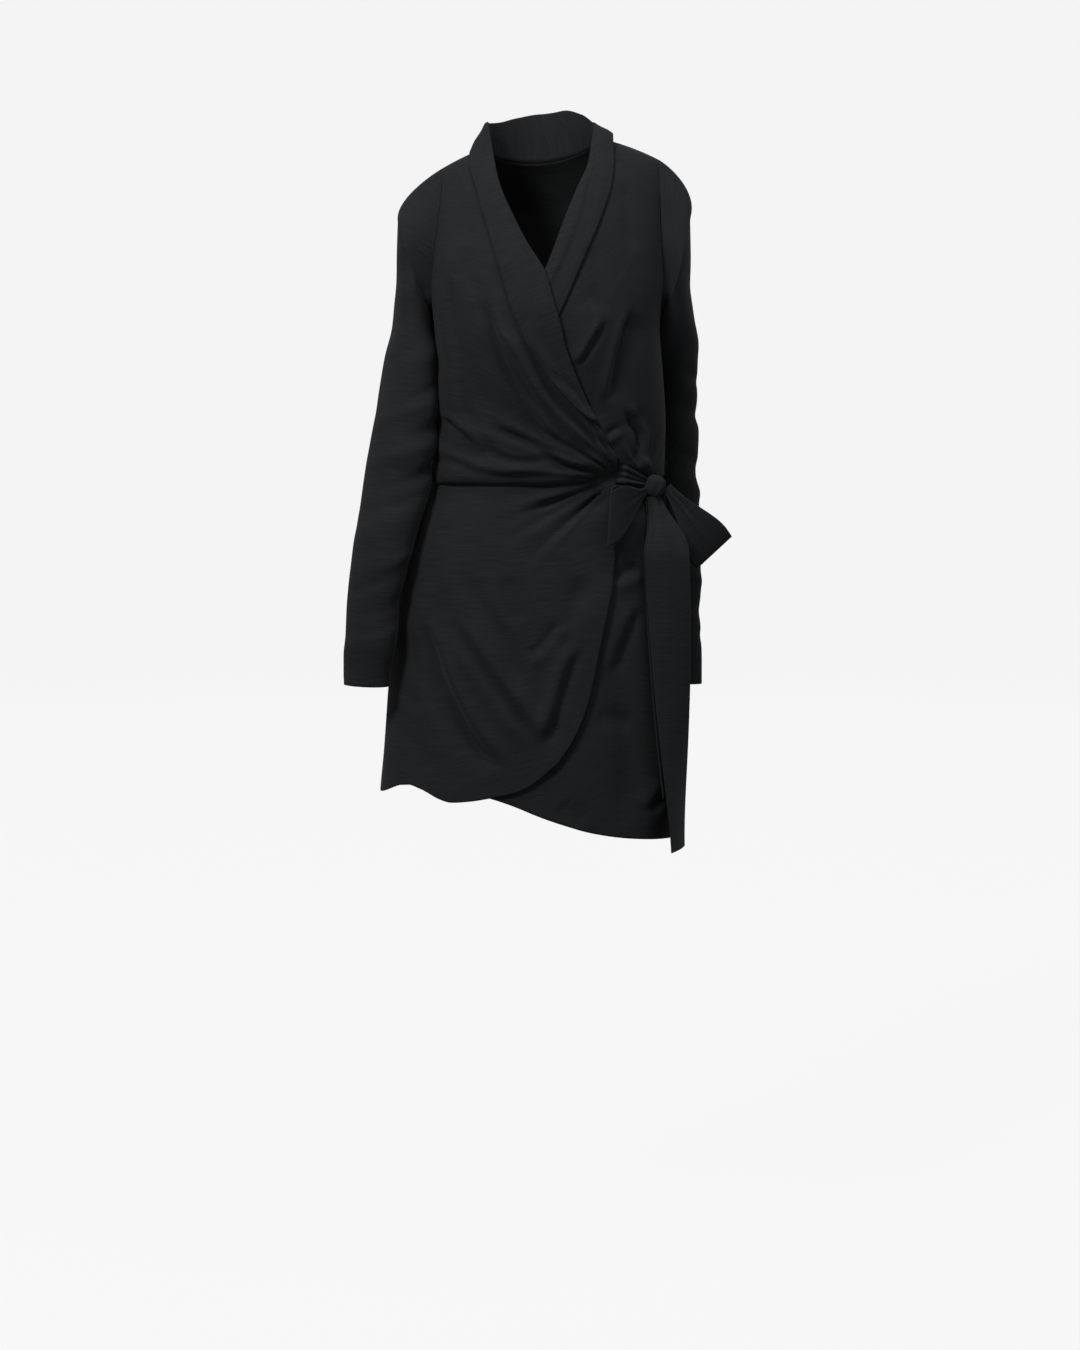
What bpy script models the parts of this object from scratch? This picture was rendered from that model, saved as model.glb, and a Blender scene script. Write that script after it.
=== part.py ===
"""Wrap dress with a shawl collar, long sleeves and a tied sash, in its worn, hollow form.

The cloth hangs from the shoulders: the origin lies between the shoulder seams at the
base of the neck, +X is the wearer's left, -Y the front and +Z up. Tables and sizes are
in millimetres and the meshes in metres. The right front crosses over the left one.
"""

import math

import bpy
import numpy as np

MM = 0.001

CLOTH = 1.2  # wall of every cloth piece
SEAM = 0.35  # each sewn edge stops this far short of its seam line
TURNED_SEAM = 0.8  # the same where two pieces meet at a sharp angle
LAYER = 4.4  # the right front lies this far outside the left one
COLLAR_ROOM = 3.0  # extra room where the right front crosses the left collar
COLLAR_LIFT = 4.0  # the fall of the collar lies this far off the fronts
ROLL = 1.7  # radius of the collar's roll

WAIST_HEIGHT = -414.0
WAIST_DROP = -WAIST_HEIGHT
SHOULDER = 440.0  # distance up the cloth from waist seam to shoulder seam
UNDERARM = 222.0  # the same to the low end of the armhole
NECK_DIP = 38.0  # the back neckline lies this far below the shoulder seam
SHOULDER_TILT = 0.040  # the wearer's left shoulder stands higher

MATTE_BLACK = (0.011, 0.0115, 0.012, 1.0)


def smooth(knots, values, at):
    """Curve through the values that never swings past them."""
    at = np.clip(at, knots[0], knots[-1])
    step = np.diff(knots)
    secant = np.diff(values) / step
    product = secant[:-1] * secant[1:]
    total = np.where(secant[:-1] + secant[1:] == 0, 1, secant[:-1] + secant[1:])
    inner = np.where(product > 0, 2 * product / total, 0)
    slope = np.concatenate([secant[:1], inner, secant[-1:]])
    i = np.clip(np.searchsorted(knots, at) - 1, 0, len(knots) - 2)
    t = (at - knots[i]) / step[i]
    rise = values[i + 1] - values[i]
    start = step[i] * slope[i]
    end = step[i] * slope[i + 1]
    return values[i] + start * t + (3 * rise - 2 * start - end) * t**2 + (start + end - 2 * rise) * t**3


def ramp(start, end, at):
    """0 before start, 1 past end, and a soft step between."""
    t = np.clip((np.asarray(at, float) - start) / (end - start), 0, 1)
    return t * t * (3 - 2 * t)


class Table:
    """Short table of sizes whose first column is the place that the others are read at."""

    def __init__(self, names, *rows):
        self.names = names.split()
        self.rows = np.array(rows, float)

    def at(self, name, place):
        column = self.rows[:, self.names.index(name)]
        return smooth(self.rows[:, 0], column, np.asarray(place, float))


# Bodice, one row for each section from the waist seam up to the shoulder seam. along is
# measured up the cloth, rise lifts the middle of a section over its sides, half is the
# half width and armhole the half width at which the armhole seam lies.
BODICE = Table(
    "along height rise centre half armhole front back",
    (0, -414, 0, 4.5, 141, 141, 94, 82),
    (7, -411, 0, 5.0, 145, 145, 98, 86),
    (18, -403, 0, 7.0, 148, 148, 104, 89),
    (42, -380, 0, 10.5, 147, 147, 108, 91),
    (96, -326, 0, 13.0, 145, 145, 111, 91),
    (160, -262, 0, 11.5, 142, 142, 121, 96),
    (198, -225, 0, 9.5, 141, 141, 124, 99),
    (222, -202, 1, 9.0, 143, 143, 122, 101),
    (258, -168, 3, 9.0, 147, 143, 114, 103),
    (302, -126, 6, 10.0, 147, 141, 100, 101),
    (350, -82, 14, 12.0, 144, 138, 79, 90),
    (385, -52, 24, 13.0, 141, 136, 58, 70),
    (411, -31, 32, 13.0, 138.5, 135.5, 37, 46),
    (428, -20, 36, 13.0, 137, 135.5, 18, 22),
    (440, -16, 37, 13.0, 136, 136, 0, 0),
)

# Skirt, one row for each section; drop is the distance below the shoulders.
SKIRT = Table(
    "drop centre half front back",
    (414, 4.5, 141, 94, 82),
    (450, 1.0, 156, 103, 97),
    (500, -1.0, 171, 111, 111),
    (563, 0.0, 183, 117, 123),
    (620, -1.0, 188, 120, 127),
    (690, -4.0, 191, 122, 128),
    (756, -8.0, 192, 124, 127),
    (808, -12.0, 193, 126, 126),
    (870, -16.0, 192, 128, 125),
)
FULL_FRONT = 2.3  # how square the front of a section is: 2 is an ellipse
FULL_BACK = 1.85

# Right front's free edge, from the shoulder down: the roll of the collar and, past its
# end, the wrap edge. seam is where the front itself stops and edge is the collar's rim.
RIGHT_NECK = Table(
    "drop roll seam edge",
    (-8, -62, -71, -88),
    (12, -58, -70, -87),
    (30, -54.5, -67, -84),
    (50, -49, -62, -78),
    (84, -34.5, -46, -68),
    (122, -15.5, -25, -57),
    (158, 5.5, 0, -46),
    (184, 13, 9, -39),
    (214, 21.5, 18, -28),
    (245, 29, 25.5, -13),
    (275, 40, 36.5, 7),
    (312, 56, 52.5, 38),
    (336, 67.5, 64, 62),
    (345, 72, 72, 72),
    (357, 79, 79, 79),
    (384, 93, 93, 93),
    (414, 94, 94, 94),
)
LEFT_NECK = Table(
    "drop roll seam edge",
    (-14, 65, 75, 91),
    (2, 64, 75, 91),
    (24, 59, 71, 90),
    (47, 48.5, 61, 87),
    (65, 41, 53, 82),
    (96, 29, 40, 71),
    (122, 19.5, 28, 60),
    (157, 5.5, 11, 45),
    (190, -9, -5, 31),
    (222, -24, -20, 14),
    (300, -58, -58, -58),
    (350, -78, -78, -78),
    (400, -92, -92, -92),
    (414, -94, -94, -94),
)
RIGHT_COLLAR_END = 334.0  # drop at which the collar tapers away
LEFT_COLLAR_END = 222.0
HPS_RIGHT, HPS_LEFT = -71.0, 75.0  # across, where the neckline meets the shoulder seams

# Free edges of the skirt.
OVERLAP_EDGE = Table(
    "drop across",
    (384, 93),
    (414, 92),
    (494, 91),
    (535, 87.5),
    (581, 79),
    (631, 69),
    (669, 61.5),
    (694, 54),
    (723, 42),
    (754, 22),
)
OVERLAP_HEM = Table(
    "across drop",
    (-205, 806),
    (-166, 788),
    (-150, 792),
    (-124, 803),
    (-109, 806),
    (-87, 804),
    (-62, 799.5),
    (-37, 794),
    (-16, 785.5),
    (0, 774),
    (22, 754),
)
UNDERLAP_HEM = Table(
    "across drop",
    (-94, 792),
    (-62, 800),
    (-37, 808),
    (0, 823),
    (25, 832),
    (62, 843.5),
    (100, 851.5),
    (138, 857),
    (168, 861),
    (176, 863),
)
BACK_HEM = Table("across drop", (-205, 806), (-120, 818), (0, 836), (100, 852), (176, 863))
RIGHT_HEM, LEFT_HEM = 806, 863  # drop of the hem at each side seam
WRAP_END = 93.0  # across, where the overlap's edge leaves the waist seam
HIDDEN_EDGE = -94.0  # across, where the underlap of the skirt ends
SASH_PULL = 19.0  # the waist seam climbs this far to the end of the wrap

# Large folds, seen from the front or the back. Columns: x and z of the start, of the
# point that bends it and of the end, then its half width and its depth at both ends,
# where below zero is a trough.
BODICE_FOLDS = np.array(
    (
        (-74, -180, -50, -292, 6, -366, 16, -3.0, -5.0),
        (-44, -212, -6, -310, 66, -378, 15, 2.0, 5.0),
        (-66, -350, -10, -352, 48, -394, 15, -3.0, -4.0),
        (-122, -322, -96, -368, -58, -388, 16, -5.0, -2.0),
        (74, -190, 62, -240, 46, -274, 16, 4.0, 2.0),
        (118, -200, 104, -258, 92, -320, 15, -4.0, -3.0),
        (108, -322, 134, -352, 130, -392, 14, -4.0, -4.0),
    ),
    float,
)
SKIRT_FOLDS = np.array(
    (
        (-158, -585, -128, -690, -54, -770, 17, -3.0, -6.0),
        (-112, -590, -52, -676, -12, -738, 16, 2.0, 5.0),
        (60, -540, 34, -620, 8, -730, 16, 3.0, 5.0),
        (86, -428, 32, -440, -24, -462, 14, -4.0, -2.0),
        (-182, -600, -172, -690, -148, -790, 16, -4.0, -5.0),
        (98, -575, 108, -700, 112, -850, 18, -3.0, -6.0),
        (152, -640, 156, -740, 150, -860, 16, 3.0, 5.0),
    ),
    float,
)
BACK_FOLDS = np.array(
    (
        (-96, -130, -70, -230, -20, -330, 18, -3.0, -5.0),
        (100, -140, 76, -240, 30, -336, 18, -3.0, -4.5),
        (-120, -340, -80, -366, -30, -376, 16, -4.0, -3.0),
        (-110, -560, -120, -690, -104, -838, 20, -2.0, -7.0),
        (-36, -600, -46, -710, -38, -845, 22, 2.0, 7.0),
        (34, -590, 30, -700, 42, -855, 20, -2.0, -7.0),
        (112, -560, 116, -700, 104, -858, 22, 2.0, 7.0),
    ),
    float,
)

# Sleeve sections from the cap down. outer and inner are the sleeve's two sides seen from
# the front, fore and aft its limits in Y, and slant lifts its outer side.
RIGHT_SLEEVE = Table(
    "along height outer inner fore aft slant",
    (0, -150, -178, -140, -51, 50, 62),
    (60, -205, -182, -140, -56, 48, 30),
    (115, -258, -193, -137, -64, 38, 8),
    (190, -330, -206, -131, -77, 15, 0),
    (270, -408, -219, -141, -84, 2, 0),
    (328, -465, -227, -153, -92, -12, 0),
    (375, -512, -234.5, -166, -96, -22, 0),
    (426, -563, -240, -177, -94, -28, 0),
    (477, -614, -242.5, -183, -91, -28, 0),
    (516, -653, -245, -191, -84, -26, 0),
    (530, -667, -244.5, -192, -83, -27, 0),
)
LEFT_SLEEVE = Table(
    "along height outer inner fore aft slant",
    (0, -146, 188, 160, -46, 52, 62),
    (60, -203, 192, 154, -28, 74, 30),
    (115, -256, 198, 141, 4, 94, 8),
    (190, -330, 200, 140, 30, 112, 0),
    (270, -408, 203, 138, 46, 120, 0),
    (328, -465, 205, 143, 58, 126, 0),
    (375, -512, 207, 150, 66, 130, 0),
    (426, -563, 208, 156, 74, 132, 0),
    (477, -614, 209, 160, 80, 134, 0),
    (516, -653, 210, 162, 82, 134, 0),
    (538, -680, 210, 163, 82, 133, 0),
)

SLEEVE_TURN = 12.0  # each sleeve's section turns in with the side of the body

# Sash and bow.
SASH_TOP, SASH_FOOT = 413.5, 441.0  # the sash round the back, below the shoulders
SASH_OFF = 3.0  # off the top of the skirt
KNOT_AT = np.array((143.0, -62.0, -416.0))
KNOT_SIZE = np.array((11.0, 9.0, 12.5))
RIBBON = 60.0
LOOP_THREAD = 0.8  # radius of a thread belt loop

WAIST_COLUMNS = 16
UNDER_COLUMNS = 12
BACK_COLUMNS = 15
SKIRT_ROWS = 12
BODICE_ROWS = (0, 7, 18, 36, 64, 94, 124, 152, 177, 200, UNDERARM)
ARMHOLE_ROWS = (UNDERARM, 250, 284, 320, 354, 384, 408, 426, 440)


def bend(folds, x, z):
    """Depth of the folds at points seen from the front, each a soft trough or ridge on a curve."""
    total = np.zeros(np.shape(x))
    steps = np.linspace(0, 1, 9)
    for x0, z0, x1, z1, x2, z2, width, first, last in folds:
        px = (1 - steps) ** 2 * x0 + 2 * steps * (1 - steps) * x1 + steps**2 * x2
        pz = (1 - steps) ** 2 * z0 + 2 * steps * (1 - steps) * z1 + steps**2 * z2
        nearest = np.full(np.shape(x), 1e9)
        where = np.zeros(np.shape(x))
        for i in range(len(steps) - 1):
            ax, az = px[i], pz[i]
            dx, dz = px[i + 1] - ax, pz[i + 1] - az
            t = np.clip(((x - ax) * dx + (z - az) * dz) / (dx * dx + dz * dz), 0, 1)
            away = np.hypot(x - ax - t * dx, z - az - t * dz)
            where = np.where(away < nearest, (i + t) / (len(steps) - 1), where)
            nearest = np.minimum(nearest, away)
        ends = ramp(0, 0.2, where) * ramp(1, 0.85, where)
        total += (first + (last - first) * where) * ends * np.exp(-((nearest / width) ** 2))
    return total


def section(side, lean, half, depth, centre):
    """x and y of points round one section; lean is the sine of the way round."""
    full = FULL_FRONT if side < 0 else FULL_BACK
    flat = np.clip(1 - np.abs(lean) ** full, 0, 1) ** (1 / full)
    return centre + half * lean, side * depth * flat


def climb(x, z):
    """How far the waist is pulled up towards the end of the wrap."""
    return SASH_PULL * np.exp(-(((x - 96) / 42) ** 2)) * np.exp(-(((z + 414) / 26) ** 2))


def bodice_form(side, lean, along):
    depth = BODICE.at("front" if side < 0 else "back", along)
    x, y = section(side, lean, BODICE.at("half", along), depth, BODICE.at("centre", along))
    tilt = SHOULDER_TILT * ramp(100, SHOULDER, along) * (x - 13)
    z = BODICE.at("height", along) + BODICE.at("rise", along) * (1 - lean**2) + tilt
    if side < 0:
        z = z + climb(x, z)
    return np.stack([x, y, z], -1)


def skirt_form(side, lean, drop):
    depth = SKIRT.at("front" if side < 0 else "back", drop)
    x, y = section(side, lean, SKIRT.at("half", drop), depth, SKIRT.at("centre", drop))
    z = -drop
    if side < 0:
        z = z + climb(x, z)
    return np.stack([x, y, z + 0 * x], -1)


def moved_out(form, side, lean, place, amount):
    """Points of a form moved along its outward normal, which is level at the waist seam."""
    point = form(side, lean, place)
    tiny = 1e-3
    a = form(side, np.clip(lean + tiny, -1, 1), place) - form(side, np.clip(lean - tiny, -1, 1), place)
    b = form(side, lean, place + 0.5) - form(side, lean, place - 0.5)
    normal = np.cross(a, b)
    normal[..., 2] *= ramp(0, 40, np.abs(point[..., 2] - WAIST_HEIGHT) - 2)
    length = np.linalg.norm(normal, axis=-1, keepdims=True)
    normal = normal / np.where(length == 0, 1, length)
    facing = np.sign((normal * point * (1, 1, 0)).sum(-1, keepdims=True))
    return point + normal * facing * np.asarray(amount)[..., None]


def lean_at(form_table, across, place):
    """Way round a section at which it is that far across."""
    lean = (across - form_table.at("centre", place)) / form_table.at("half", place)
    return np.clip(lean, -1, 1)


def drop_of(lean, along):
    """Distance below the shoulders of a point on the bodice."""
    return -bodice_form(-1, lean, along)[..., 2]


def neck_lean(neck, column, along):
    """Way round the bodice of a neckline at each distance up the cloth."""
    lean = lean_at(BODICE, neck.at(column, -BODICE.at("height", along)), along)
    for _ in range(6):
        lean = lean_at(BODICE, neck.at(column, drop_of(lean, along)), along)
    return lean


def armhole_lean(along):
    return BODICE.at("armhole", along) / BODICE.at("half", along)


def spread(start, end, count):
    """Evenly spaced ways round from start to end; they are sines, so the angle is divided."""
    angle = np.linspace(0, 1, count + 1)
    a, b = np.arcsin(np.clip(start, -1, 1)), np.arcsin(np.clip(end, -1, 1))
    return np.sin(a[..., None] + (b - a)[..., None] * angle)


def inset(grid, top=0.0, bottom=0.0, left=0.0, right=0.0):
    """Draws the edges of a grid of points back from their seams."""
    for edge, inner, amount in (
        ((0, slice(None)), (1, slice(None)), bottom),
        ((-1, slice(None)), (-2, slice(None)), top),
        ((slice(None), 0), (slice(None), 1), left),
        ((slice(None), -1), (slice(None), -2), right),
    ):
        if amount:
            away = grid[inner] - grid[edge]
            grid[edge] += away * (amount / np.linalg.norm(away, axis=-1, keepdims=True))
    return grid


def all_rows():
    return np.array(BODICE_ROWS + ARMHOLE_ROWS[1:], float)


def right_lift(x, z):
    """Height of the right front over the left one: none at the side seam and shoulder."""
    over = ramp(-140, -108, x) * ramp(-95, -150, z)
    room = COLLAR_ROOM * np.exp(-(((x - 6) / 48) ** 2)) * np.exp(-(((z + 186) / 46) ** 2))
    return over * LAYER + room * ramp(-110, -140, z)


def front_bodice(neck, start_at_neck, columns, lift):
    along = all_rows()[:, None]
    edge = neck_lean(neck, "seam", along)
    side = armhole_lean(along) * (1 if start_at_neck else -1)
    low, high = (edge, side) if start_at_neck else (side, edge)
    lean = spread(low[:, 0], high[:, 0], columns)
    along = along + 0 * lean
    flat = bodice_form(-1, lean, along)
    out = bend(BODICE_FOLDS, flat[..., 0], flat[..., 2]) * ramp(0, 24, along) * ramp(SHOULDER, 410, along)
    out = out * ramp(1, 0.97, np.abs(lean)) + lift(flat[..., 0], flat[..., 2])
    return moved_out(bodice_form, -1, lean, along, out)


def back_bodice():
    base = all_rows()[:, None]
    side = armhole_lean(base)
    right = float(lean_at(BODICE, HPS_RIGHT, SHOULDER))
    left = float(lean_at(BODICE, HPS_LEFT, SHOULDER))
    third = BACK_COLUMNS // 3
    share = np.concatenate(
        [
            np.linspace(-1, np.arcsin(right) / (math.pi / 2), third + 1)[:-1],
            np.linspace(np.arcsin(right), np.arcsin(left), third + 1) / (math.pi / 2),
            np.linspace(np.arcsin(left) / (math.pi / 2), 1, third + 1)[1:],
        ]
    )
    lean = np.sin(np.arcsin(np.clip(side, 0, 1)) * share)
    middle = (share - share[third]) / (share[2 * third] - share[third]) * 2 - 1
    dip = NECK_DIP * np.sqrt(np.clip(1 - middle**2, 0, 1)) ** 1.2
    along = base - dip * ramp(262, SHOULDER, base)
    flat = bodice_form(1, lean, along)
    out = bend(BACK_FOLDS, flat[..., 0], flat[..., 2]) * ramp(0, 24, along) * ramp(SHOULDER, 400, along)
    return moved_out(bodice_form, 1, lean, along, out * ramp(1, 0.95, np.abs(lean)))


def fill(bottom, top, left, right):
    """Grid of (lean, drop) pairs between four edges that share their corners."""
    u = np.linspace(0, 1, len(bottom))[None, :, None]
    v = np.linspace(0, 1, len(left))[:, None, None]
    edges = (1 - v) * bottom[None] + v * top[None] + (1 - u) * left[:, None] + u * right[:, None]
    corners = (1 - u) * ((1 - v) * bottom[0] + v * top[0]) + u * ((1 - v) * bottom[-1] + v * top[-1])
    return edges - corners


def skirt_panel(side, folds, waist_lean, hem, left_edge, right_edge, lift):
    """Skirt panel between the waist seam, its hem and two edges, each edge a list of drops."""
    angle = np.arcsin(waist_lean)
    top = np.stack([angle, np.full(len(angle), WAIST_DROP)], -1)
    left_drop, left_across = left_edge
    right_drop, right_across = right_edge
    hem_across = np.linspace(left_across[-1], right_across[-1], len(angle))
    hem_drop = hem.at("drop", hem_across)
    bottom = np.stack([np.arcsin(lean_at(SKIRT, hem_across, hem_drop)), hem_drop], -1)
    left = np.stack([np.arcsin(lean_at(SKIRT, left_across, left_drop)), left_drop], -1)
    right = np.stack([np.arcsin(lean_at(SKIRT, right_across, right_drop)), right_drop], -1)
    left[0], right[0] = top[0], top[-1]
    bottom[0], bottom[-1] = left[-1], right[-1]
    grid = fill(top, bottom, left, right)
    lean, drop = np.sin(grid[..., 0]), grid[..., 1]
    flat = skirt_form(side, lean, drop)
    out = bend(folds, flat[..., 0], flat[..., 2]) * ramp(414, 436, drop)
    out = out * ramp(1, 0.97, np.abs(lean)) + lift(flat[..., 0], flat[..., 2])
    return moved_out(skirt_form, side, lean, drop, out)


def side_edge(sign, last):
    """Drops and places across of a side seam down to its last drop."""
    drop = np.linspace(WAIST_DROP, last, SKIRT_ROWS + 1)
    return drop, SKIRT.at("centre", drop) + sign * SKIRT.at("half", drop)


def no_lift(x, z):
    return 0 * x


def skirt_lift(x, z):
    """The overlap rests on the underlap, and its free edge stands a little off."""
    edge = OVERLAP_EDGE.at("across", np.clip(-z, 384, 754))
    off = 3.0 * np.exp(-(((x - edge) / 26) ** 2)) * ramp(-470, -560, z)
    return right_lift(x, -300 + 0 * z) + off


def sleeve(table, sign, turns, rows):
    """Sleeve from the armhole seam to the cuff, as rings of points."""
    rise = np.array(ARMHOLE_ROWS[::-1], float)
    fore = bodice_form(-1, sign * armhole_lean(rise), rise)
    aft = bodice_form(1, sign * armhole_lean(rise), rise)
    seam = np.concatenate([fore, aft[-2:0:-1]])
    steps = np.linalg.norm(np.diff(seam, axis=0, append=seam[:1]), axis=1)
    length = np.concatenate([[0], np.cumsum(steps)])
    angle = 2 * math.pi * length[:-1] / length[-1]
    centre = 2 * math.pi * length[len(rise) - 1] / length[-1]
    beyond = math.pi + (angle - centre) / (2 * math.pi - centre) * math.pi
    angle = np.where(angle < centre, angle / centre * math.pi, beyond)
    along = np.array(rows, float)[:, None]
    outer, inner = table.at("outer", along), table.at("inner", along)
    front, back = table.at("fore", along), table.at("aft", along)
    x = (outer + inner) / 2 + (outer - inner) / 2 * np.cos(angle)
    x = x + SLEEVE_TURN * np.sin(angle) * ramp(40, 130, along)
    y = (front + back) / 2 + (front - back) / 2 * np.sin(angle)
    z = table.at("height", along) + table.at("slant", along) * np.cos(angle)
    tube = np.stack([x, y, z], -1)
    away = np.stack([0 * angle + sign * 0.86, -0.15 * np.sin(angle), 0 * angle - 0.5], -1)
    away /= np.linalg.norm(away, axis=1, keepdims=True)
    reach = np.linalg.norm(tube[0] - seam, axis=1, keepdims=True)
    first = seam + away * 1.7
    cap = []
    for t in (0.0, 0.3, 0.64):
        blend = t * t * (3 - 2 * t)
        start = first + away * reach * t
        end = tube[0] + (tube[0] - tube[1]) * (1 - t) * 0.45
        cap.append(start * (1 - blend) + end * blend)
    rings = np.concatenate([np.array(cap), tube])
    out = np.zeros(rings.shape[:2])
    for height, turn, tall, wide, depth in turns:
        near = np.angle(np.exp(1j * (angle - turn)))
        slope = rings[..., 2] - height - 14 * np.sin(angle - turn)
        out += depth * np.exp(-((slope / tall) ** 2)) * np.exp(-((near / wide) ** 2))
    axis = rings.mean(axis=1, keepdims=True)
    outward = (rings - axis) * (1, 1, 0)
    outward /= np.linalg.norm(outward, axis=2, keepdims=True)
    return rings + outward * (out * ramp(-60, -110, rings[..., 2]))[..., None]


def on_front(across, drop, amount, lift):
    """Point of the front at a place seen from the front, that far off the cloth."""
    low, high = np.zeros(np.shape(across)), np.full(np.shape(across), SHOULDER - 0.5)
    for _ in range(24):
        half = (low + high) / 2
        above = drop_of(lean_at(BODICE, across, half), half) < drop
        high, low = np.where(above, half, high), np.where(above, low, half)
    lean = lean_at(BODICE, across, low)
    out = bend(BODICE_FOLDS, across, -drop) * ramp(0, 24, low) * ramp(SHOULDER, 410, low)
    return moved_out(bodice_form, -1, lean, low, out + lift(across, -drop) + amount)


def front_collar(neck, first, last, sign, lift):
    """Sections of the collar over one front, from its low end up, as rows of points."""
    drop = np.linspace(last, first, 10)
    roll, seam, edge = (neck.at(name, drop) for name in ("roll", "seam", "edge"))
    share = ramp(last + 4, last - 60, drop)
    lines = (
        (seam + sign * 1.5, 0.0),
        (roll - sign * 1.0, 0.2),
        (roll + sign * 1.0, COLLAR_LIFT / 2),
        (roll - sign * 1.2, COLLAR_LIFT),
        (roll * 0.72 + edge * 0.28, COLLAR_LIFT + 1.2 * share),
        (roll * 0.36 + edge * 0.64, COLLAR_LIFT + 0.6 * share),
        (edge, COLLAR_LIFT - 0.6),
    )
    return np.stack([on_front(x, drop, np.asarray(h) + 0 * x, lift) for x, h in lines], 1)


# Stand and fall of the collar round the back of the neck, from the wearer's right to the
# left: the roll's place out from and over the seam, and the rim's.
BACK_COLLAR = Table(
    "share roll_out roll_up edge_out edge_up",
    (0.0, -6, 31, 17, -5),
    (0.16, -3, 44, 20, -3),
    (0.34, 3, 55, 25, 0),
    (0.5, 7, 60, 28, 1),
    (0.66, 4, 60, 25, 3),
    (0.84, -2, 46, 20, 1),
    (1.0, -8, 18, 16, 6),
)
NECK_CENTRE = np.array((2.0, 8.0, 0.0))


def neck_collar():
    third = BACK_COLUMNS // 3
    neckline = back_bodice()[-1, third : 2 * third + 1]
    rows = []
    for share, seam in zip(np.linspace(0, 1, len(neckline)), neckline):
        out = (seam - NECK_CENTRE) * (1, 1, 0)
        out /= np.linalg.norm(out)
        up = np.array((0.0, 0.0, 1.0))
        seam = seam + up * 1.9
        roll = seam + out * BACK_COLLAR.at("roll_out", share) + up * BACK_COLLAR.at("roll_up", share)
        edge = seam + out * BACK_COLLAR.at("edge_out", share) + up * BACK_COLLAR.at("edge_up", share)
        rows.append((
            seam,
            seam * 0.35 + roll * 0.65 - out * 0.6,
            roll + up * ROLL + out * ROLL * 0.4,
            roll + out * 2 * ROLL,
            roll * 0.72 + edge * 0.28 + out * 2.4,
            roll * 0.36 + edge * 0.64 + out * 2.6,
            edge,
        ))
    return np.array(rows)


def collar(columns):
    right = front_collar(RIGHT_NECK, 22, RIGHT_COLLAR_END, 1, right_lift)
    left = front_collar(LEFT_NECK, 18, LEFT_COLLAR_END, -1, no_lift)
    rows = np.concatenate([right, neck_collar(), left[::-1]])
    length = np.concatenate([[0], np.cumsum(np.linalg.norm(np.diff(rows[:, 3], axis=0), axis=1))])
    at = np.linspace(0, length[-1], columns + 1)
    flat = rows.reshape(len(rows), -1)
    grid = np.stack([smooth(length, flat[:, i], at) for i in range(flat.shape[1])], -1)
    return grid.reshape(len(at), 7, 3)


def ribbon(path, across, width, count=4, dish=0.0):
    """Strip of cloth along a path: a row of points over its width at each place."""
    path, across = np.asarray(path, float), np.asarray(across, float)
    across /= np.linalg.norm(across, axis=1, keepdims=True)
    along = np.gradient(path, axis=0)
    normal = np.cross(along, across)
    normal /= np.linalg.norm(normal, axis=1, keepdims=True)
    place = np.linspace(-1, 1, count + 1)
    half = np.asarray(width, float)[:, None, None] / 2
    sag = (1 - place**2)[None, :, None] * dish
    return path[:, None] + across[:, None] * place[None, :, None] * half + normal[:, None] * sag


def build_sheet(name, grid, colour, collection, wrap=False):
    """One cloth piece: its middle surface as a grid of points, thickened to the cloth's wall."""
    count_i, count_j = grid.shape[:2]
    points = [tuple(point * MM) for point in grid.reshape(-1, 3)]
    last = count_j if wrap else count_j - 1
    faces = []
    for i in range(count_i - 1):
        for j in range(last):
            a, b = i * count_j + j, i * count_j + (j + 1) % count_j
            faces.append((a, b, b + count_j, a + count_j))
    mesh = bpy.data.meshes.new(name)
    mesh.from_pydata(points, [], faces)
    mesh.validate()
    mesh.shade_smooth()
    mesh.materials.append(cloth_material(name, colour))
    piece = bpy.data.objects.new(name, mesh)
    collection.objects.link(piece)
    piece.modifiers.new("Triangles", "TRIANGULATE")
    wall = piece.modifiers.new("Wall", "SOLIDIFY")
    wall.thickness = CLOTH * MM
    wall.offset = 0
    return piece


def cloth_material(name, colour):
    material = bpy.data.materials.new(name + "_cloth")
    material.use_nodes = True
    shader = material.node_tree.nodes["Principled BSDF"]
    shader.inputs["Base Color"].default_value = colour
    shader.inputs["Roughness"].default_value = 0.85
    shader.inputs["Metallic"].default_value = 0.0
    return material


def build_bodice(collection):
    right = front_bodice(RIGHT_NECK, False, WAIST_COLUMNS, right_lift)
    right = inset(right, 0.6, 3 * TURNED_SEAM, SEAM, SEAM)
    build_sheet("bodice_front_right", right, MATTE_BLACK, collection)
    left = front_bodice(LEFT_NECK, True, UNDER_COLUMNS, no_lift)
    left = inset(left, 0.6, TURNED_SEAM, SEAM, SEAM)
    build_sheet("bodice_front_left", left, MATTE_BLACK, collection)
    back = inset(back_bodice(), 0.6, TURNED_SEAM, SEAM, SEAM)
    build_sheet("bodice_back", back, MATTE_BLACK, collection)
    build_sheet("collar", collar(32), MATTE_BLACK, collection)


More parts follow.
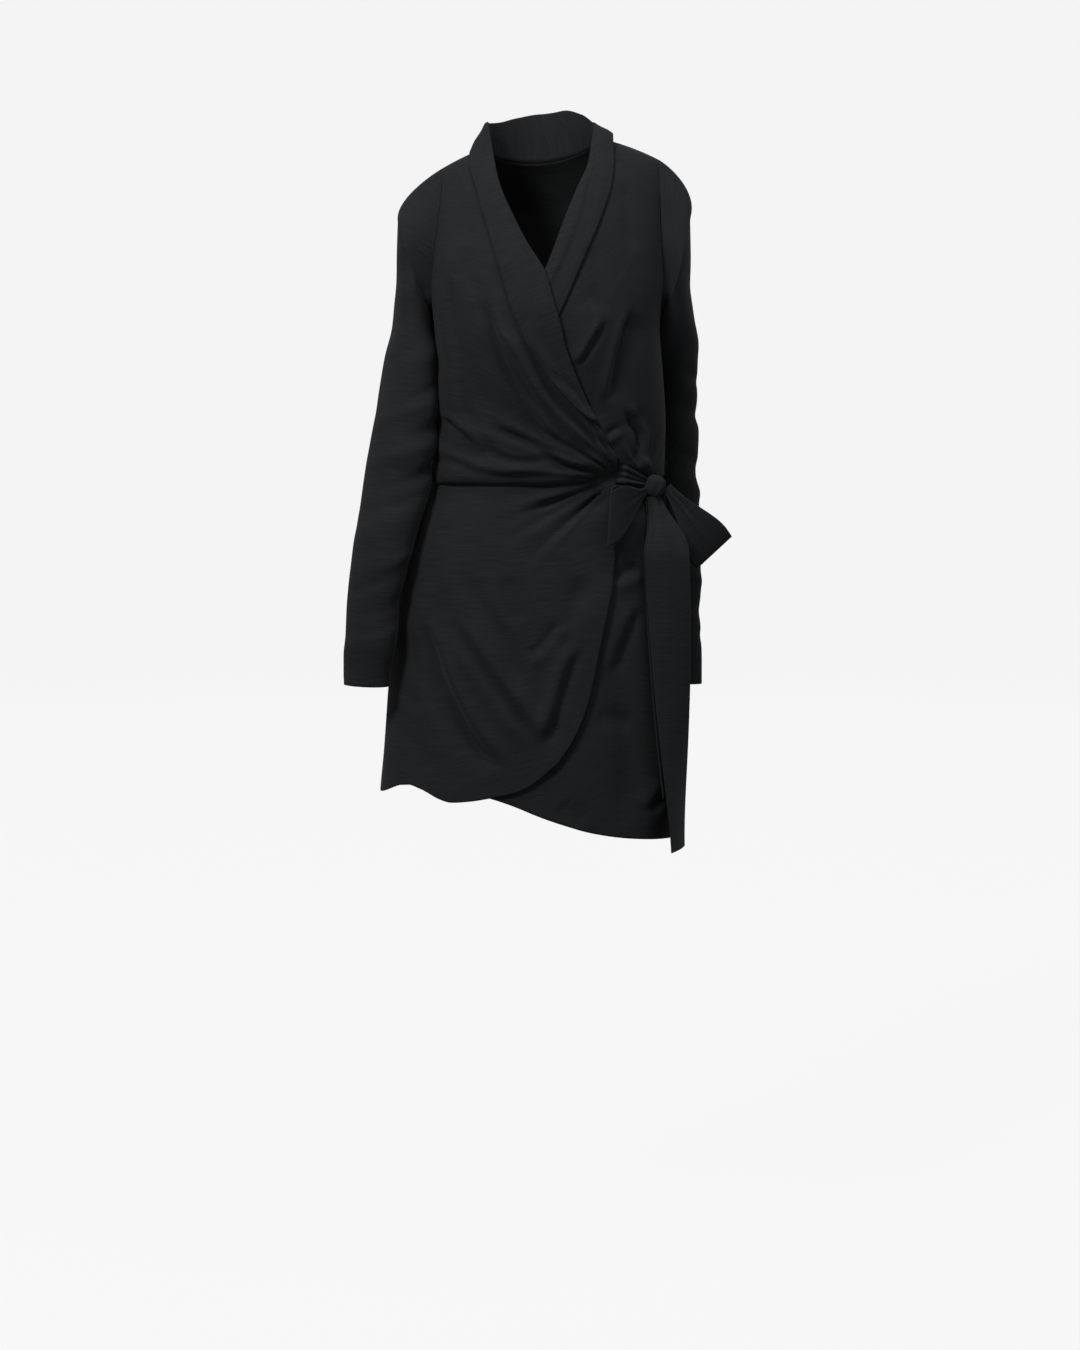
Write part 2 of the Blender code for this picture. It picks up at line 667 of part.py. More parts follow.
def build_skirt(collection):
    waist = float(lean_at(SKIRT, WRAP_END, WAIST_DROP))
    over = spread(np.array(-1.0), np.array(waist), WAIST_COLUMNS)
    edge_drop = np.linspace(WAIST_DROP, 754, SKIRT_ROWS + 1)
    edge = edge_drop, OVERLAP_EDGE.at("across", edge_drop)
    grid = skirt_panel(-1, SKIRT_FOLDS, over, OVERLAP_HEM, side_edge(-1, RIGHT_HEM), edge, skirt_lift)
    grid = inset(grid, bottom=3 * TURNED_SEAM, left=SEAM)
    build_sheet("skirt_front_right", grid, MATTE_BLACK, collection)
    hidden = float(lean_at(SKIRT, HIDDEN_EDGE, WAIST_DROP))
    under = spread(np.array(hidden), np.array(1.0), UNDER_COLUMNS)
    hidden_drop = np.linspace(WAIST_DROP, 792, SKIRT_ROWS + 1)
    hidden_edge = hidden_drop, np.full(SKIRT_ROWS + 1, HIDDEN_EDGE)
    grid = skirt_panel(
        -1, SKIRT_FOLDS, under, UNDERLAP_HEM, hidden_edge, side_edge(1, LEFT_HEM), no_lift
    )
    build_sheet("skirt_front_left", inset(grid, bottom=TURNED_SEAM, right=SEAM), MATTE_BLACK, collection)
    round_back = spread(np.array(-1.0), np.array(1.0), BACK_COLUMNS)
    grid = skirt_panel(
        1, BACK_FOLDS, round_back, BACK_HEM, side_edge(-1, RIGHT_HEM), side_edge(1, LEFT_HEM), no_lift
    )
    build_sheet("skirt_back", inset(grid, 0, TURNED_SEAM, SEAM, SEAM), MATTE_BLACK, collection)


# Crosswise folds of the sleeves. Columns: height, way round, half height, half the way
# that it reaches round, and depth.
RIGHT_SLEEVE_FOLDS = (
    (-150, 1.1, 22, 0.9, -3.0),
    (-215, 0.4, 20, 1.0, -3.0),
    (-255, 2.0, 16, 1.0, 3.0),
    (-345, 2.4, 14, 0.9, -4.0),
    (-372, 1.6, 13, 1.2, 3.0),
    (-402, 2.2, 12, 1.0, -3.5),
    (-470, 1.0, 18, 1.2, 2.5),
    (-560, 2.4, 14, 1.2, -2.5),
    (-612, 0.8, 14, 1.4, 2.0),
    (-340, 4.6, 20, 1.2, -3.0),
    (-420, 4.2, 18, 1.2, 2.5),
)
LEFT_SLEEVE_FOLDS = (
    (-160, 0.7, 22, 0.9, -2.5),
    (-235, 0.3, 20, 1.1, 2.5),
    (-330, 0.6, 16, 1.2, -3.0),
    (-365, 5.6, 16, 1.3, 3.0),
    (-405, 0.4, 14, 1.2, -3.0),
    (-500, 5.8, 20, 1.2, 2.5),
    (-585, 0.5, 16, 1.4, -2.5),
    (-350, 4.2, 18, 1.2, -3.0),
)
SLEEVE_ROWS = (0, 34, 68, 102, 136, 168, 196, 224, 252, 282, 316, 352, 390, 430, 470, 506, 529)


def build_sleeves(collection):
    right = sleeve(RIGHT_SLEEVE, -1, RIGHT_SLEEVE_FOLDS, SLEEVE_ROWS)
    build_sheet("sleeve_right", right[::-1], MATTE_BLACK, collection, wrap=True)
    left = sleeve(LEFT_SLEEVE, 1, LEFT_SLEEVE_FOLDS, SLEEVE_ROWS[:-1] + (538,))
    build_sheet("sleeve_left", left, MATTE_BLACK, collection, wrap=True)


def sash_round_back():
    """Sash from the right side seam round the back and on to the knot, in soft lengthwise pleats."""
    turns = np.concatenate([np.linspace(-0.5, 0.5, 19), np.linspace(0.5, 0.43, 4)[1:]]) * math.pi
    sides = np.array([1] * 19 + [-1] * 3)
    rows = []
    for index, (turn, side) in enumerate(zip(turns, sides)):
        tuck = ramp(19, 21, index)
        drop = np.linspace(SASH_TOP + 3 * tuck, SASH_FOOT - 13 * tuck, 4)
        off = SASH_OFF + np.array((0.6, 1.6, 0.4, 0.6)) + 5.0 * tuck
        rows.append(moved_out(skirt_form, side, np.full(4, math.sin(turn)), drop, off))
    rows.append(KNOT_AT + [(5.0, 9.9, height) for height in (5.0, 1.5, -2.0, -5.5)])
    return np.array(rows)


def build_sash(collection):
    build_sheet("sash_back", sash_round_back(), MATTE_BLACK, collection)
    start, end = np.array((95.6, -91.0, -397.0)), KNOT_AT + (-10.6, 2.0, 6.0)
    share = np.linspace(0, 1, 6)[:, None]
    path = start + (end - start) * share
    path[:, 1] -= 3.0 * np.sin(share[:, 0] * math.pi) + 5.0
    up = np.tile((0.12, 0.0, 1.0), (len(path), 1))
    build_sheet("sash_strap", ribbon(path, up, 27 - 19 * share[:, 0], dish=-2.0), MATTE_BLACK, collection)
    build_belt_loop("belt_loop_right", -1, collection)
    build_belt_loop("belt_loop_left", 1, collection)


def side_seam(sign, drop):
    """How far across the side seam is, on the bodice and on the skirt."""
    if drop > -WAIST_HEIGHT:
        return float(SKIRT.at("centre", drop) + sign * SKIRT.at("half", drop))
    along = float(np.interp(-drop, BODICE.rows[:, 1], BODICE.rows[:, 0]))
    return float(BODICE.at("centre", along) + sign * BODICE.at("half", along))


def build_belt_loop(name, sign, collection):
    """Thread loop sewn to the side seam above and below the sash."""
    curve = bpy.data.curves.new(name, "CURVE")
    curve.dimensions = "3D"
    curve.bevel_depth = LOOP_THREAD * MM
    curve.bevel_resolution = 2
    curve.use_fill_caps = True
    line = curve.splines.new("POLY")
    rows = ((384, 2.0), (394, 2.2), (404, 2.4), (413, 7.6), (427, 7.2), (441, 5.6), (447, 2.6), (455, 2.0))
    line.points.add(len(rows) - 1)
    for point, (drop, off) in zip(line.points, rows):
        point.co = ((side_seam(sign, drop) + sign * off) * MM, 0.002 * sign, -drop * MM, 1)
    piece = bpy.data.objects.new(name, curve)
    curve.materials.append(cloth_material(name, MATTE_BLACK))
    collection.objects.link(piece)
    return piece


def build_knot(collection):
    bpy.ops.mesh.primitive_uv_sphere_add(segments=14, ring_count=9, radius=1, location=KNOT_AT * MM)
    knot = bpy.context.object
    knot.name = "sash_knot"
    knot.scale = KNOT_SIZE * MM
    knot.rotation_euler = (0, 0.25, 0.5)
    bpy.ops.object.transform_apply(location=False, rotation=True, scale=True)
    knot.data.materials.append(cloth_material("sash_knot", MATTE_BLACK))
    for owner in list(knot.users_collection):
        owner.objects.unlink(knot)
    collection.objects.link(knot)
    knot.data.shade_smooth()


def bow_loop(start, end, across, narrow, wide, full, steps=6):
    """Loop of ribbon: out along the front leaf, round the end and back behind."""
    start, end, across = (np.asarray(value, float) for value in (start, end, across))
    across = across / np.linalg.norm(across)
    axis = end - start
    normal = np.cross(axis / np.linalg.norm(axis), across)
    out = np.linspace(0, 1, steps + 1)
    share = np.concatenate([out, out[::-1]])
    side = np.concatenate([np.ones(steps + 1), -np.ones(steps + 1)])
    gap = 1.6 + full * np.sin(math.pi * np.clip(share, 0, 0.97) ** 1.4)
    gap = np.where(share == 1, full * 0.35, gap)
    centre = start + axis * share[:, None] + normal * (side * gap)[:, None]
    width = narrow + (wide - narrow) * ramp(0, 0.9, share)
    lines = np.linspace(-0.5, 0.5, 5)
    return centre[:, None] + across * (width[:, None] * lines)[..., None]


def build_bow(collection):
    build_knot(collection)
    front = bow_loop(
        KNOT_AT + (-11.4, -5, -5), KNOT_AT + (-58, -60, -38), (0.06, 0, 1), 9, 68, 6.0
    )
    build_sheet("bow_loop_front", front, MATTE_BLACK, collection)
    side = bow_loop(KNOT_AT + (15, 1, -2), KNOT_AT + (76, 22, -84), (0.72, 0.1, 0.66), 14, 60, 7.0)
    build_sheet("bow_loop_side", side, MATTE_BLACK, collection)
    for name, length, back in (("sash_tail", 440, 0.0), ("sash_tail_under", 372, 5.0)):
        down = np.linspace(0, length, 15)
        place = np.array((143.0, -63.0, -429.4))
        turn = np.radians(24 + 46 * ramp(110, 440, down))
        across = np.stack([np.cos(turn), np.sin(turn), 0 * turn], -1)
        facing = np.stack([np.sin(turn), -np.cos(turn), 0 * turn], -1)
        path = np.stack([
            place[0] + 12 * ramp(0, 53, down) + 18 * down / 440,
            place[1] - 30 * ramp(0, 80, down) + 4 * down / 440,
            place[2] - down,
        ], -1) - facing * back
        width = 22 + (RIBBON - 22) * ramp(0, 70, down)
        build_sheet(name, ribbon(path, across, width, dish=2.5), MATTE_BLACK, collection)


def main():
    for item in list(bpy.data.objects):
        bpy.data.objects.remove(item, do_unlink=True)
    collection = bpy.data.collections.new("wrap_dress")
    bpy.context.scene.collection.children.link(collection)
    build_bodice(collection)
    build_skirt(collection)
    build_sleeves(collection)
    build_sash(collection)
    build_bow(collection)


main()
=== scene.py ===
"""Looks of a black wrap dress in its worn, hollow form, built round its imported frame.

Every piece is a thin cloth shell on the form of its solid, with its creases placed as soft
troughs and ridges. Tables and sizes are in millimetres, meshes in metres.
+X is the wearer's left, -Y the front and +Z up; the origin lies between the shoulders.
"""

from __future__ import annotations

import logging
import math
import sys
from collections.abc import Callable
from dataclasses import dataclass, field
from enum import Enum

import bpy
import numpy as np
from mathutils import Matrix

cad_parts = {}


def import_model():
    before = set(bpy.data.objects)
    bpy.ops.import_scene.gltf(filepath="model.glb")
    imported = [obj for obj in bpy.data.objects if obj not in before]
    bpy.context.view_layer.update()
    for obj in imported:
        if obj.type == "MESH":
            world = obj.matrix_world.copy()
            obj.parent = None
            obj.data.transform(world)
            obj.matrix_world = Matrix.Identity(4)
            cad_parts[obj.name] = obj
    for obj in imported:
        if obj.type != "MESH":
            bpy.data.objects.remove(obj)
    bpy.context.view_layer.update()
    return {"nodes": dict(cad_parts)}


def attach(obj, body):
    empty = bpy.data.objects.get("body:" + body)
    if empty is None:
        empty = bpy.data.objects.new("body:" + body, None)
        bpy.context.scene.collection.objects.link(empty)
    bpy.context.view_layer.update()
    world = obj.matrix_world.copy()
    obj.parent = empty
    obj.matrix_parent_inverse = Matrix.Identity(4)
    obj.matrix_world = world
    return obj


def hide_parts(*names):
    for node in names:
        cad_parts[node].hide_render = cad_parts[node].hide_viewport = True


Array = np.ndarray
Lift = Callable[[Array, Array], Array]

LOG = logging.getLogger("wrap_dress")

MM = 0.001
CLOTH = 1.0  # wall of the shown cloth
SEAM = 0.05  # each sewn edge stops this far short of its seam line
TURNED_SEAM = 0.2  # the same where two pieces meet at a sharp angle
LAYER = 4.4  # the right front lies this far outside the left one
COLLAR_ROOM = 3.0  # extra room where the right front crosses the left collar
COLLAR_LIFT = 4.0  # the fall of the collar lies this far off the fronts
ROLL = 1.7  # radius of the collar's roll
WAIST_HEIGHT = -414.0
SHOULDER = 440.0  # distance up the cloth from waist seam to shoulder seam
UNDERARM = 222.0
NECK_DIP = 38.0  # the back neckline lies this far below the shoulder seam
SHOULDER_TILT = 0.040  # the wearer's left shoulder stands higher
SASH_PULL = 19.0  # the waist seam climbs this far to the end of the wrap
HPS_RIGHT, HPS_LEFT = -71.0, 75.0  # across, where the neckline meets the shoulder seams
RIGHT_COLLAR_END, LEFT_COLLAR_END = 334.0, 222.0  # drop at which each end tapers away
HIDDEN_EDGE = -94.0  # across, where the underlap of the skirt ends
KNOT_AT = np.array((143.0, -62.0, -416.0))
KNOT_SIZE = np.array((11.0, 9.0, 12.5))
RIBBON = 60.0  # width of a sash end
SLEEVE_TURN = 12.0  # each sleeve's section turns in with the side of the body


class Side(Enum):
    """Half of the garment that a panel lies on, as the sign of its Y."""

    FRONT = -1
    BACK = 1


class Crease(Enum):
    """Section of a fold: a soft wave, or a sharp trough with a ridge on one side of it."""

    SOFT = 0
    RIDGE_RIGHT = -1
    RIDGE_LEFT = 1


class Hold(Enum):
    """How a sheet of cloth is held."""

    HUNG = "hung"
    GATHERED = "gathered"
    FOLDED = "folded"
    STRETCHED = "stretched"


class Cloth(Enum):
    """Material slot of the record that a piece takes its finish from."""

    OUTER = "crepe"
    # the same crepe with slightly darker slubs, on the underlap and the back pieces: painted shade
    UNDER = "crepe_under"
    SASH = "sash"
    THREAD = "thread"


def smooth(knots: Array, values: Array, at: Array) -> Array:
    """Runs a curve through the values that never swings past them.

    Args:
        knots: rising places of the values.
        values: the value at each knot.
        at: places to read the curve at; those outside are clipped.

    Returns:
        The value of the curve at each place.
    """
    at = np.clip(at, knots[0], knots[-1])
    step = np.diff(knots)
    secant = np.diff(values) / step
    product = secant[:-1] * secant[1:]
    total = np.where(secant[:-1] + secant[1:] == 0, 1, secant[:-1] + secant[1:])
    inner = np.where(product > 0, 2 * product / total, 0)
    slope = np.concatenate([secant[:1], inner, secant[-1:]])
    i = np.clip(np.searchsorted(knots, at) - 1, 0, len(knots) - 2)
    t = (at - knots[i]) / step[i]
    rise = values[i + 1] - values[i]
    start, end = step[i] * slope[i], step[i] * slope[i + 1]
    cubic = (3 * rise - 2 * start - end) * t**2 + (start + end - 2 * rise) * t**3
    return values[i] + start * t + cubic


def ramp(start: float, end: float, at: Array | float) -> Array:
    """Gives 0 before start, 1 past end, and a soft step between.

    Args:
        start: place where the step begins.
        end: place where it is done, which may lie below start.
        at: places to read it at.

    Returns:
        The height of the step at each place.
    """
    t = np.clip((np.asarray(at, float) - start) / (end - start), 0, 1)
    return t * t * (3 - 2 * t)


def bump_at(centre: float, width: float, at: Array) -> Array:
    """Gives a soft hump of height 1 at centre, for each place in at."""
    return np.exp(-(((at - centre) / width) ** 2))


class Table:
    """Short table of sizes whose first column is the place that the others are read at."""

    def __init__(self, names: str, *rows: tuple[float, ...]) -> None:
        """Keeps the rows under the names of their columns.

        Args:
            names: column names with spaces between them.
            rows: one tuple for each place.
        """
        self.names = names.split()
        self.rows = np.array(rows, float)

    def at(self, name: str, place: Array | float) -> Array:
        """Reads a column.

        Args:
            name: the column.
            place: where to read it.

        Returns:
            Its value at each place.
        """
        column = self.rows[:, self.names.index(name)]
        return smooth(self.rows[:, 0], column, np.asarray(place, float))


# Bodice, one row for each section from the waist seam up to the shoulder seam. along is
# measured up the cloth, rise lifts the middle of a section over its sides, half is the
# half width and armhole the half width at which the armhole seam lies.
BODICE = Table(
    "along height rise centre half armhole front back",
    (0, -414, 0, 4.5, 141, 141, 94, 82),
    (7, -411, 0, 5.0, 145, 145, 98, 86),
    (18, -403, 0, 7.0, 148, 148, 104, 89),
    (42, -380, 0, 10.5, 147, 147, 108, 91),
    (96, -326, 0, 13.0, 145, 145, 111, 91),
    (160, -262, 0, 11.5, 142, 142, 121, 96),
    (198, -225, 0, 9.5, 141, 141, 124, 99),
    (222, -202, 1, 9.0, 143, 143, 122, 101),
    (258, -168, 3, 9.0, 147, 143, 114, 103),
    (302, -126, 6, 10.0, 147, 141, 100, 101),
    (350, -82, 14, 12.0, 144, 138, 79, 90),
    (385, -52, 24, 13.0, 141, 136, 58, 70),
    (411, -31, 32, 13.0, 138.5, 135.5, 37, 46),
    (428, -20, 36, 13.0, 137, 135.5, 18, 22),
    (440, -16, 37, 13.0, 136, 136, 0, 0),
)
# Skirt, one row for each section; drop is the distance below the shoulders.
SKIRT = Table(
    "drop centre half front back",
    (414, 4.5, 141, 94, 82),
    (450, 1.0, 156, 103, 97),
    (500, -1.0, 171, 111, 111),
    (563, 0.0, 183, 117, 123),
    (620, -1.0, 188, 120, 127),
    (690, -4.0, 191, 122, 128),
    (756, -8.0, 192, 124, 127),
    (808, -12.0, 193, 126, 126),
    (870, -16.0, 192, 128, 125),
)
FULL_FRONT = 2.3  # how square the front of a section is: 2 is an ellipse
FULL_BACK = 1.85
# Free edge of each front from the shoulder down. seam is where the front itself stops,
# roll where the collar turns over and edge is the collar's rim.
RIGHT_NECK = Table(
    "drop roll seam edge",
    (-8, -62, -71, -88),
    (12, -58, -70, -87),
    (30, -54.5, -67, -84),
    (50, -49, -62, -78),
    (84, -34.5, -46, -68),
    (122, -15.5, -25, -57),
    (158, 5.5, 0, -46),
    (184, 13, 9, -39),
    (214, 21.5, 18, -28),
    (245, 29, 25.5, -13),
    (275, 40, 36.5, 7),
    (312, 56, 52.5, 38),
    (336, 67.5, 64, 62),
    (345, 72, 72, 72),
    (357, 79, 79, 79),
    (384, 93, 93, 93),
    (414, 94, 94, 94),
)
LEFT_NECK = Table(
    "drop roll seam edge",
    (-14, 65, 75, 91),
    (2, 64, 75, 91),
    (24, 59, 71, 90),
    (47, 48.5, 61, 87),
    (65, 41, 53, 82),
    (96, 29, 40, 71),
    (122, 19.5, 28, 60),
    (157, 5.5, 11, 45),
    (190, -9, -5, 31),
    (222, -24, -20, 14),
    (300, -58, -58, -58),
    (350, -78, -78, -78),
    (400, -92, -92, -92),
    (414, -94, -94, -94),
)
OVERLAP_EDGE = Table(
    "drop across",
    (384, 93),
    (414, 92),
    (494, 91),
    (535, 87.5),
    (581, 79),
    (631, 69),
    (669, 61.5),
    (694, 54),
    (723, 42),
    (754, 22),
)
OVERLAP_HEM = Table(
    "across drop",
    (-205, 806),
    (-166, 788),
    (-150, 792),
    (-124, 803),
    (-109, 806),
    (-87, 804),
    (-62, 799.5),
    (-37, 794),
    (-16, 785.5),
    (0, 774),
    (22, 754),
)
UNDERLAP_HEM = Table(
    "across drop",
    (-94, 792),
    (-62, 800),
    (-37, 808),
    (0, 823),
    (25, 832),
    (62, 843.5),
    (100, 851.5),
    (138, 857),
    (168, 861),
    (176, 863),
)
BACK_HEM = Table("across drop", (-205, 806), (-120, 818), (0, 836), (100, 852), (176, 863))
# Sleeve sections from the cap down. outer and inner are the sleeve's two sides seen from
# the front, fore and aft its limits in Y, and slant lifts its outer side.
RIGHT_SLEEVE = Table(
    "along height outer inner fore aft slant",
    (0, -150, -178, -140, -51, 50, 62),
    (60, -205, -182, -140, -56, 48, 30),
    (115, -258, -193, -137, -64, 38, 8),
    (190, -330, -206, -131, -77, 15, 0),
    (270, -408, -219, -141, -84, 2, 0),
    (328, -465, -227, -153, -92, -12, 0),
    (375, -512, -234.5, -166, -96, -22, 0),
    (426, -563, -240, -177, -94, -28, 0),
    (477, -614, -242.5, -183, -91, -28, 0),
    (516, -653, -245, -191, -84, -26, 0),
    (530, -667, -244.5, -192, -83, -27, 0),
)
LEFT_SLEEVE = Table(
    "along height outer inner fore aft slant",
    (0, -146, 188, 160, -46, 52, 62),
    (60, -203, 192, 154, -28, 74, 30),
    (115, -256, 198, 141, 4, 94, 8),
    (190, -330, 200, 140, 30, 112, 0),
    (270, -408, 203, 138, 46, 120, 0),
    (328, -465, 205, 143, 58, 126, 0),
    (375, -512, 207, 150, 66, 130, 0),
    (426, -563, 208, 156, 74, 132, 0),
    (477, -614, 209, 160, 80, 134, 0),
    (516, -653, 210, 162, 82, 134, 0),
    (538, -680, 210, 163, 82, 133, 0),
)
# Stand and fall of the collar round the back of the neck, from the wearer's right to the
# left: the roll's place out from and over the seam, and the rim's.
BACK_COLLAR = Table(
    "share roll_out roll_up edge_out edge_up",
    (0.0, -6, 31, 17, -5),
    (0.16, -3, 44, 20, -3),
    (0.34, 3, 55, 25, 0),
    (0.5, 7, 60, 28, 1),
    (0.66, 4, 60, 25, 3),
    (0.84, -2, 46, 20, 1),
    (1.0, -8, 18, 16, 6),
)
NECK_CENTRE = np.array((2.0, 8.0, 0.0))


@dataclass(frozen=True)
class Fold:
    """One trough (below zero) or ridge that runs along a curve over the cloth.

    The line holds points across and up, as seen from in front or behind.
    """

    line: tuple[tuple[float, float], ...]
    width: float
    first: float
    last: float
    crease: Crease = Crease.SOFT
    fade: float = 0.22

    def curve(self, count: int = 22) -> Array:
        """Gives that many points and one on a curve through the line's points."""
        points = np.array(self.line, float)
        far = np.concatenate([[0], np.cumsum(np.linalg.norm(np.diff(points, axis=0), axis=1))])
        at = np.linspace(0, far[-1], count + 1)
        if len(points) == 2:
            return np.stack([np.interp(at, far, column) for column in points.T], -1)
        return np.stack([smooth(far, column, at) for column in points.T], -1)

    def depth(self, x: Array, z: Array) -> Array:
        """Works out how far the fold moves the cloth.

        Args:
            x: places across.
            z: heights.

        Returns:
            The distance outward at each place.
        """
        curve = self.curve()
        total = np.zeros(np.shape(x))
        reach = 3.2 * self.width
        low, high = curve.min(axis=0) - reach, curve.max(axis=0) + reach
        near = (x > low[0]) & (x < high[0]) & (z > low[1]) & (z < high[1])
        if not near.any():
            return total
        px, pz = x[near], z[near]
        best = np.full(px.shape, 1e9)
        where, side = np.zeros(px.shape), np.zeros(px.shape)
        last = len(curve) - 1
        for i in range(last):
            ax, az = curve[i]
            dx, dz = curve[i + 1] - curve[i]
            t = np.clip(((px - ax) * dx + (pz - az) * dz) / (dx * dx + dz * dz), 0, 1)
            away = np.hypot(px - ax - t * dx, pz - az - t * dz)
            nearer = away < best
            where = np.where(nearer, (i + t) / last, where)
            side = np.where(nearer, np.sign(dx * (pz - az) - dz * (px - ax)), side)
            best = np.where(nearer, away, best)
        ends = ramp(0, self.fade, where) * ramp(1, 1 - self.fade, where)
        amount = (self.first + (self.last - self.first) * where) * ends
        place = best * side / self.width
        if self.crease is Crease.SOFT:
            total[near] = amount * np.exp(-(place**2))
        else:
            over = place * self.crease.value
            ridge = 0.85 * np.exp(-(((over - 1.05) / 0.75) ** 2))
            total[near] = amount * (ridge - np.exp(-((1.6 * over) ** 2)))
        return total


@dataclass(frozen=True)
class Gathers:
    """Small pleats that fan out from a point where the cloth is pulled together.

    Directions are in degrees up from the line that points to the wearer's right.
    """

    x: float
    z: float
    reach: float
    most: float
    low: float
    high: float
    close: float = 7.0
    rates: tuple[float, float, float] = (0.36, 0.61, 0.87)  # radians of wave a degree

    def depth(self, x: Array, z: Array) -> Array:
        """Gives how far the pleats move the cloth at places across and up."""
        far = np.hypot(x - self.x, z - self.z)
        turn = np.degrees(np.arctan2(z - self.z, self.x - x))
        fan = ramp(self.low - 8, self.low + 6, turn) * ramp(self.high + 8, self.high - 6, turn)
        wave = sum(
            share * np.sin(turn * rate + 1.9 * rate * 10 + far * bend)
            for rate, share, bend in zip(self.rates, (1.0, 0.7, 0.35), (0.004, -0.006, 0.009))
        )
        rise = ramp(self.close, 5 * self.close, far) * ramp(self.reach, 0.3 * self.reach, far)
        return self.most * fan * rise * wave


@dataclass(frozen=True)
class Sway:
    """Gentle unevenness of hanging cloth, as long waves in several directions."""

    height: float
    waves: tuple[tuple[float, float, float], ...] = (  # degrees, length and phase
        (8.0, 88.0, 0.4),
        (-14.0, 131.0, 2.1),
        (31.0, 67.0, 4.0),
        (-38.0, 103.0, 1.2),
        (72.0, 154.0, 5.1),
    )

    def depth(self, x: Array, z: Array) -> Array:
        """Gives how far the waves move the cloth at places across and up."""
        total = np.zeros(np.shape(x))
        for degrees, length, phase in self.waves:
            turn = math.radians(degrees)
            total += np.sin(2 * math.pi * (x * math.cos(turn) + z * math.sin(turn)) / length + phase)
        return self.height * total / len(self.waves)


@dataclass(frozen=True)
class Folds:
    """Folds, gathers and sway of one side of the garment."""

    folds: tuple[Fold, ...]
    gathers: tuple[Gathers, ...] = ()
    sway: Sway = Sway(1.6)

    def depth(self, x: Array, z: Array) -> Array:
        """Adds them all up at places across and up."""
        return sum((each.depth(x, z) for each in (*self.folds, *self.gathers)), self.sway.depth(x, z))


# The first folds of each set are the large ones, which the solids have too.
BODICE_FOLDS = Folds((
    Fold(((-74, -180), (-45, -283), (6, -366)), 16, -3.8, -6.2),
    Fold(((-44, -212), (2, -303), (66, -378)), 15, 2.5, 6.2),
    Fold(((-66, -350), (-10, -362), (48, -394)), 15, -3.8, -5.0),
    Fold(((-122, -322), (-93, -362), (-58, -388)), 16, -6.2, -2.5),
    Fold(((74, -190), (61, -236), (46, -274)), 16, 5.0, 2.5),
    Fold(((118, -200), (105, -259), (92, -320)), 15, -5.0, -3.8),
    Fold(((108, -322), (127, -354), (130, -392)), 14, -5.0, -5.0),
    Fold(((-69, -186), (-57, -229), (-31, -290), (0, -342), (16, -369)), 10, 5.1, 8.3, Crease.RIDGE_LEFT),
    Fold(((-61, -213), (-33, -260), (1, -321), (40, -359), (81, -391)), 9, 5.9, 9.3, Crease.RIDGE_LEFT),
    Fold(((-17, -237), (1, -274), (34, -324), (65, -357), (87, -375)), 9, 4.5, 8.3, Crease.RIDGE_LEFT),
    Fold(((16, -266), (40, -318), (77, -355)), 7, 3.0, 5.5, Crease.RIDGE_LEFT),
    Fold(((-61, -342), (-21, -359), (40, -395)), 8, 3.5, 6.0, Crease.RIDGE_LEFT),
    Fold(((-70, -367), (-33, -384), (7, -388)), 8, 3.9, 3.5, Crease.RIDGE_LEFT),
    Fold(((-125, -329), (-100, -347), (-67, -383)), 8, 5.5, 3.5, Crease.RIDGE_LEFT),
    Fold(((-112, -146), (-102, -226), (-91, -274), (-87, -321), (-78, -361)), 11, 3.0, 3.9, Crease.RIDGE_RIGHT),
    Fold(((-96, -120), (-80, -170), (-60, -226)), 14, -3.5, -2.2),
    Fold(((80, -213), (63, -243), (46, -272)), 7, 4.4, 3.9, Crease.RIDGE_RIGHT),
    Fold(((114, -195), (105, -226), (96, -260), (83, -318)), 8, 5.5, 4.4, Crease.RIDGE_RIGHT),
    Fold(((103, -317), (115, -339), (125, -357), (121, -378), (130, -400)), 7, 4.4, 4.9, Crease.RIDGE_LEFT),
    Fold(((78, -357), (89, -347), (101, -342)), 7, 3.9, 3.0, Crease.RIDGE_RIGHT),
    Fold(((104, -40), (109, -92), (114, -129)), 10, -3.5, -2.6),
    Fold(((100, -398), (120, -392), (138, -384)), 8, 3.5, 4.0),
    Fold(((-134, -377), (-103, -386), (-73, -398), (-43, -403), (-12, -399), (40, -394), (78, -392)), 8, 3.2, 3.0,
         Crease.RIDGE_LEFT, 0.12),
    Fold(((-84, -240), (-66, -300), (-28, -356), (20, -384)), 11, -2.6, -2.0),
    Fold(((-118, -262), (-108, -320), (-84, -366)), 12, 2.6, 1.8),
    Fold(((-52, -146), (-34, -196), (-14, -238)), 13, -1.8, -2.2),
    Fold(((60, -120), (72, -168), (66, -208)), 14, -1.8, -1.6),
), (Gathers(98, -402, 250, 3.2, -4, 64), Gathers(134, -412, 90, 1.2, 40, 130)))
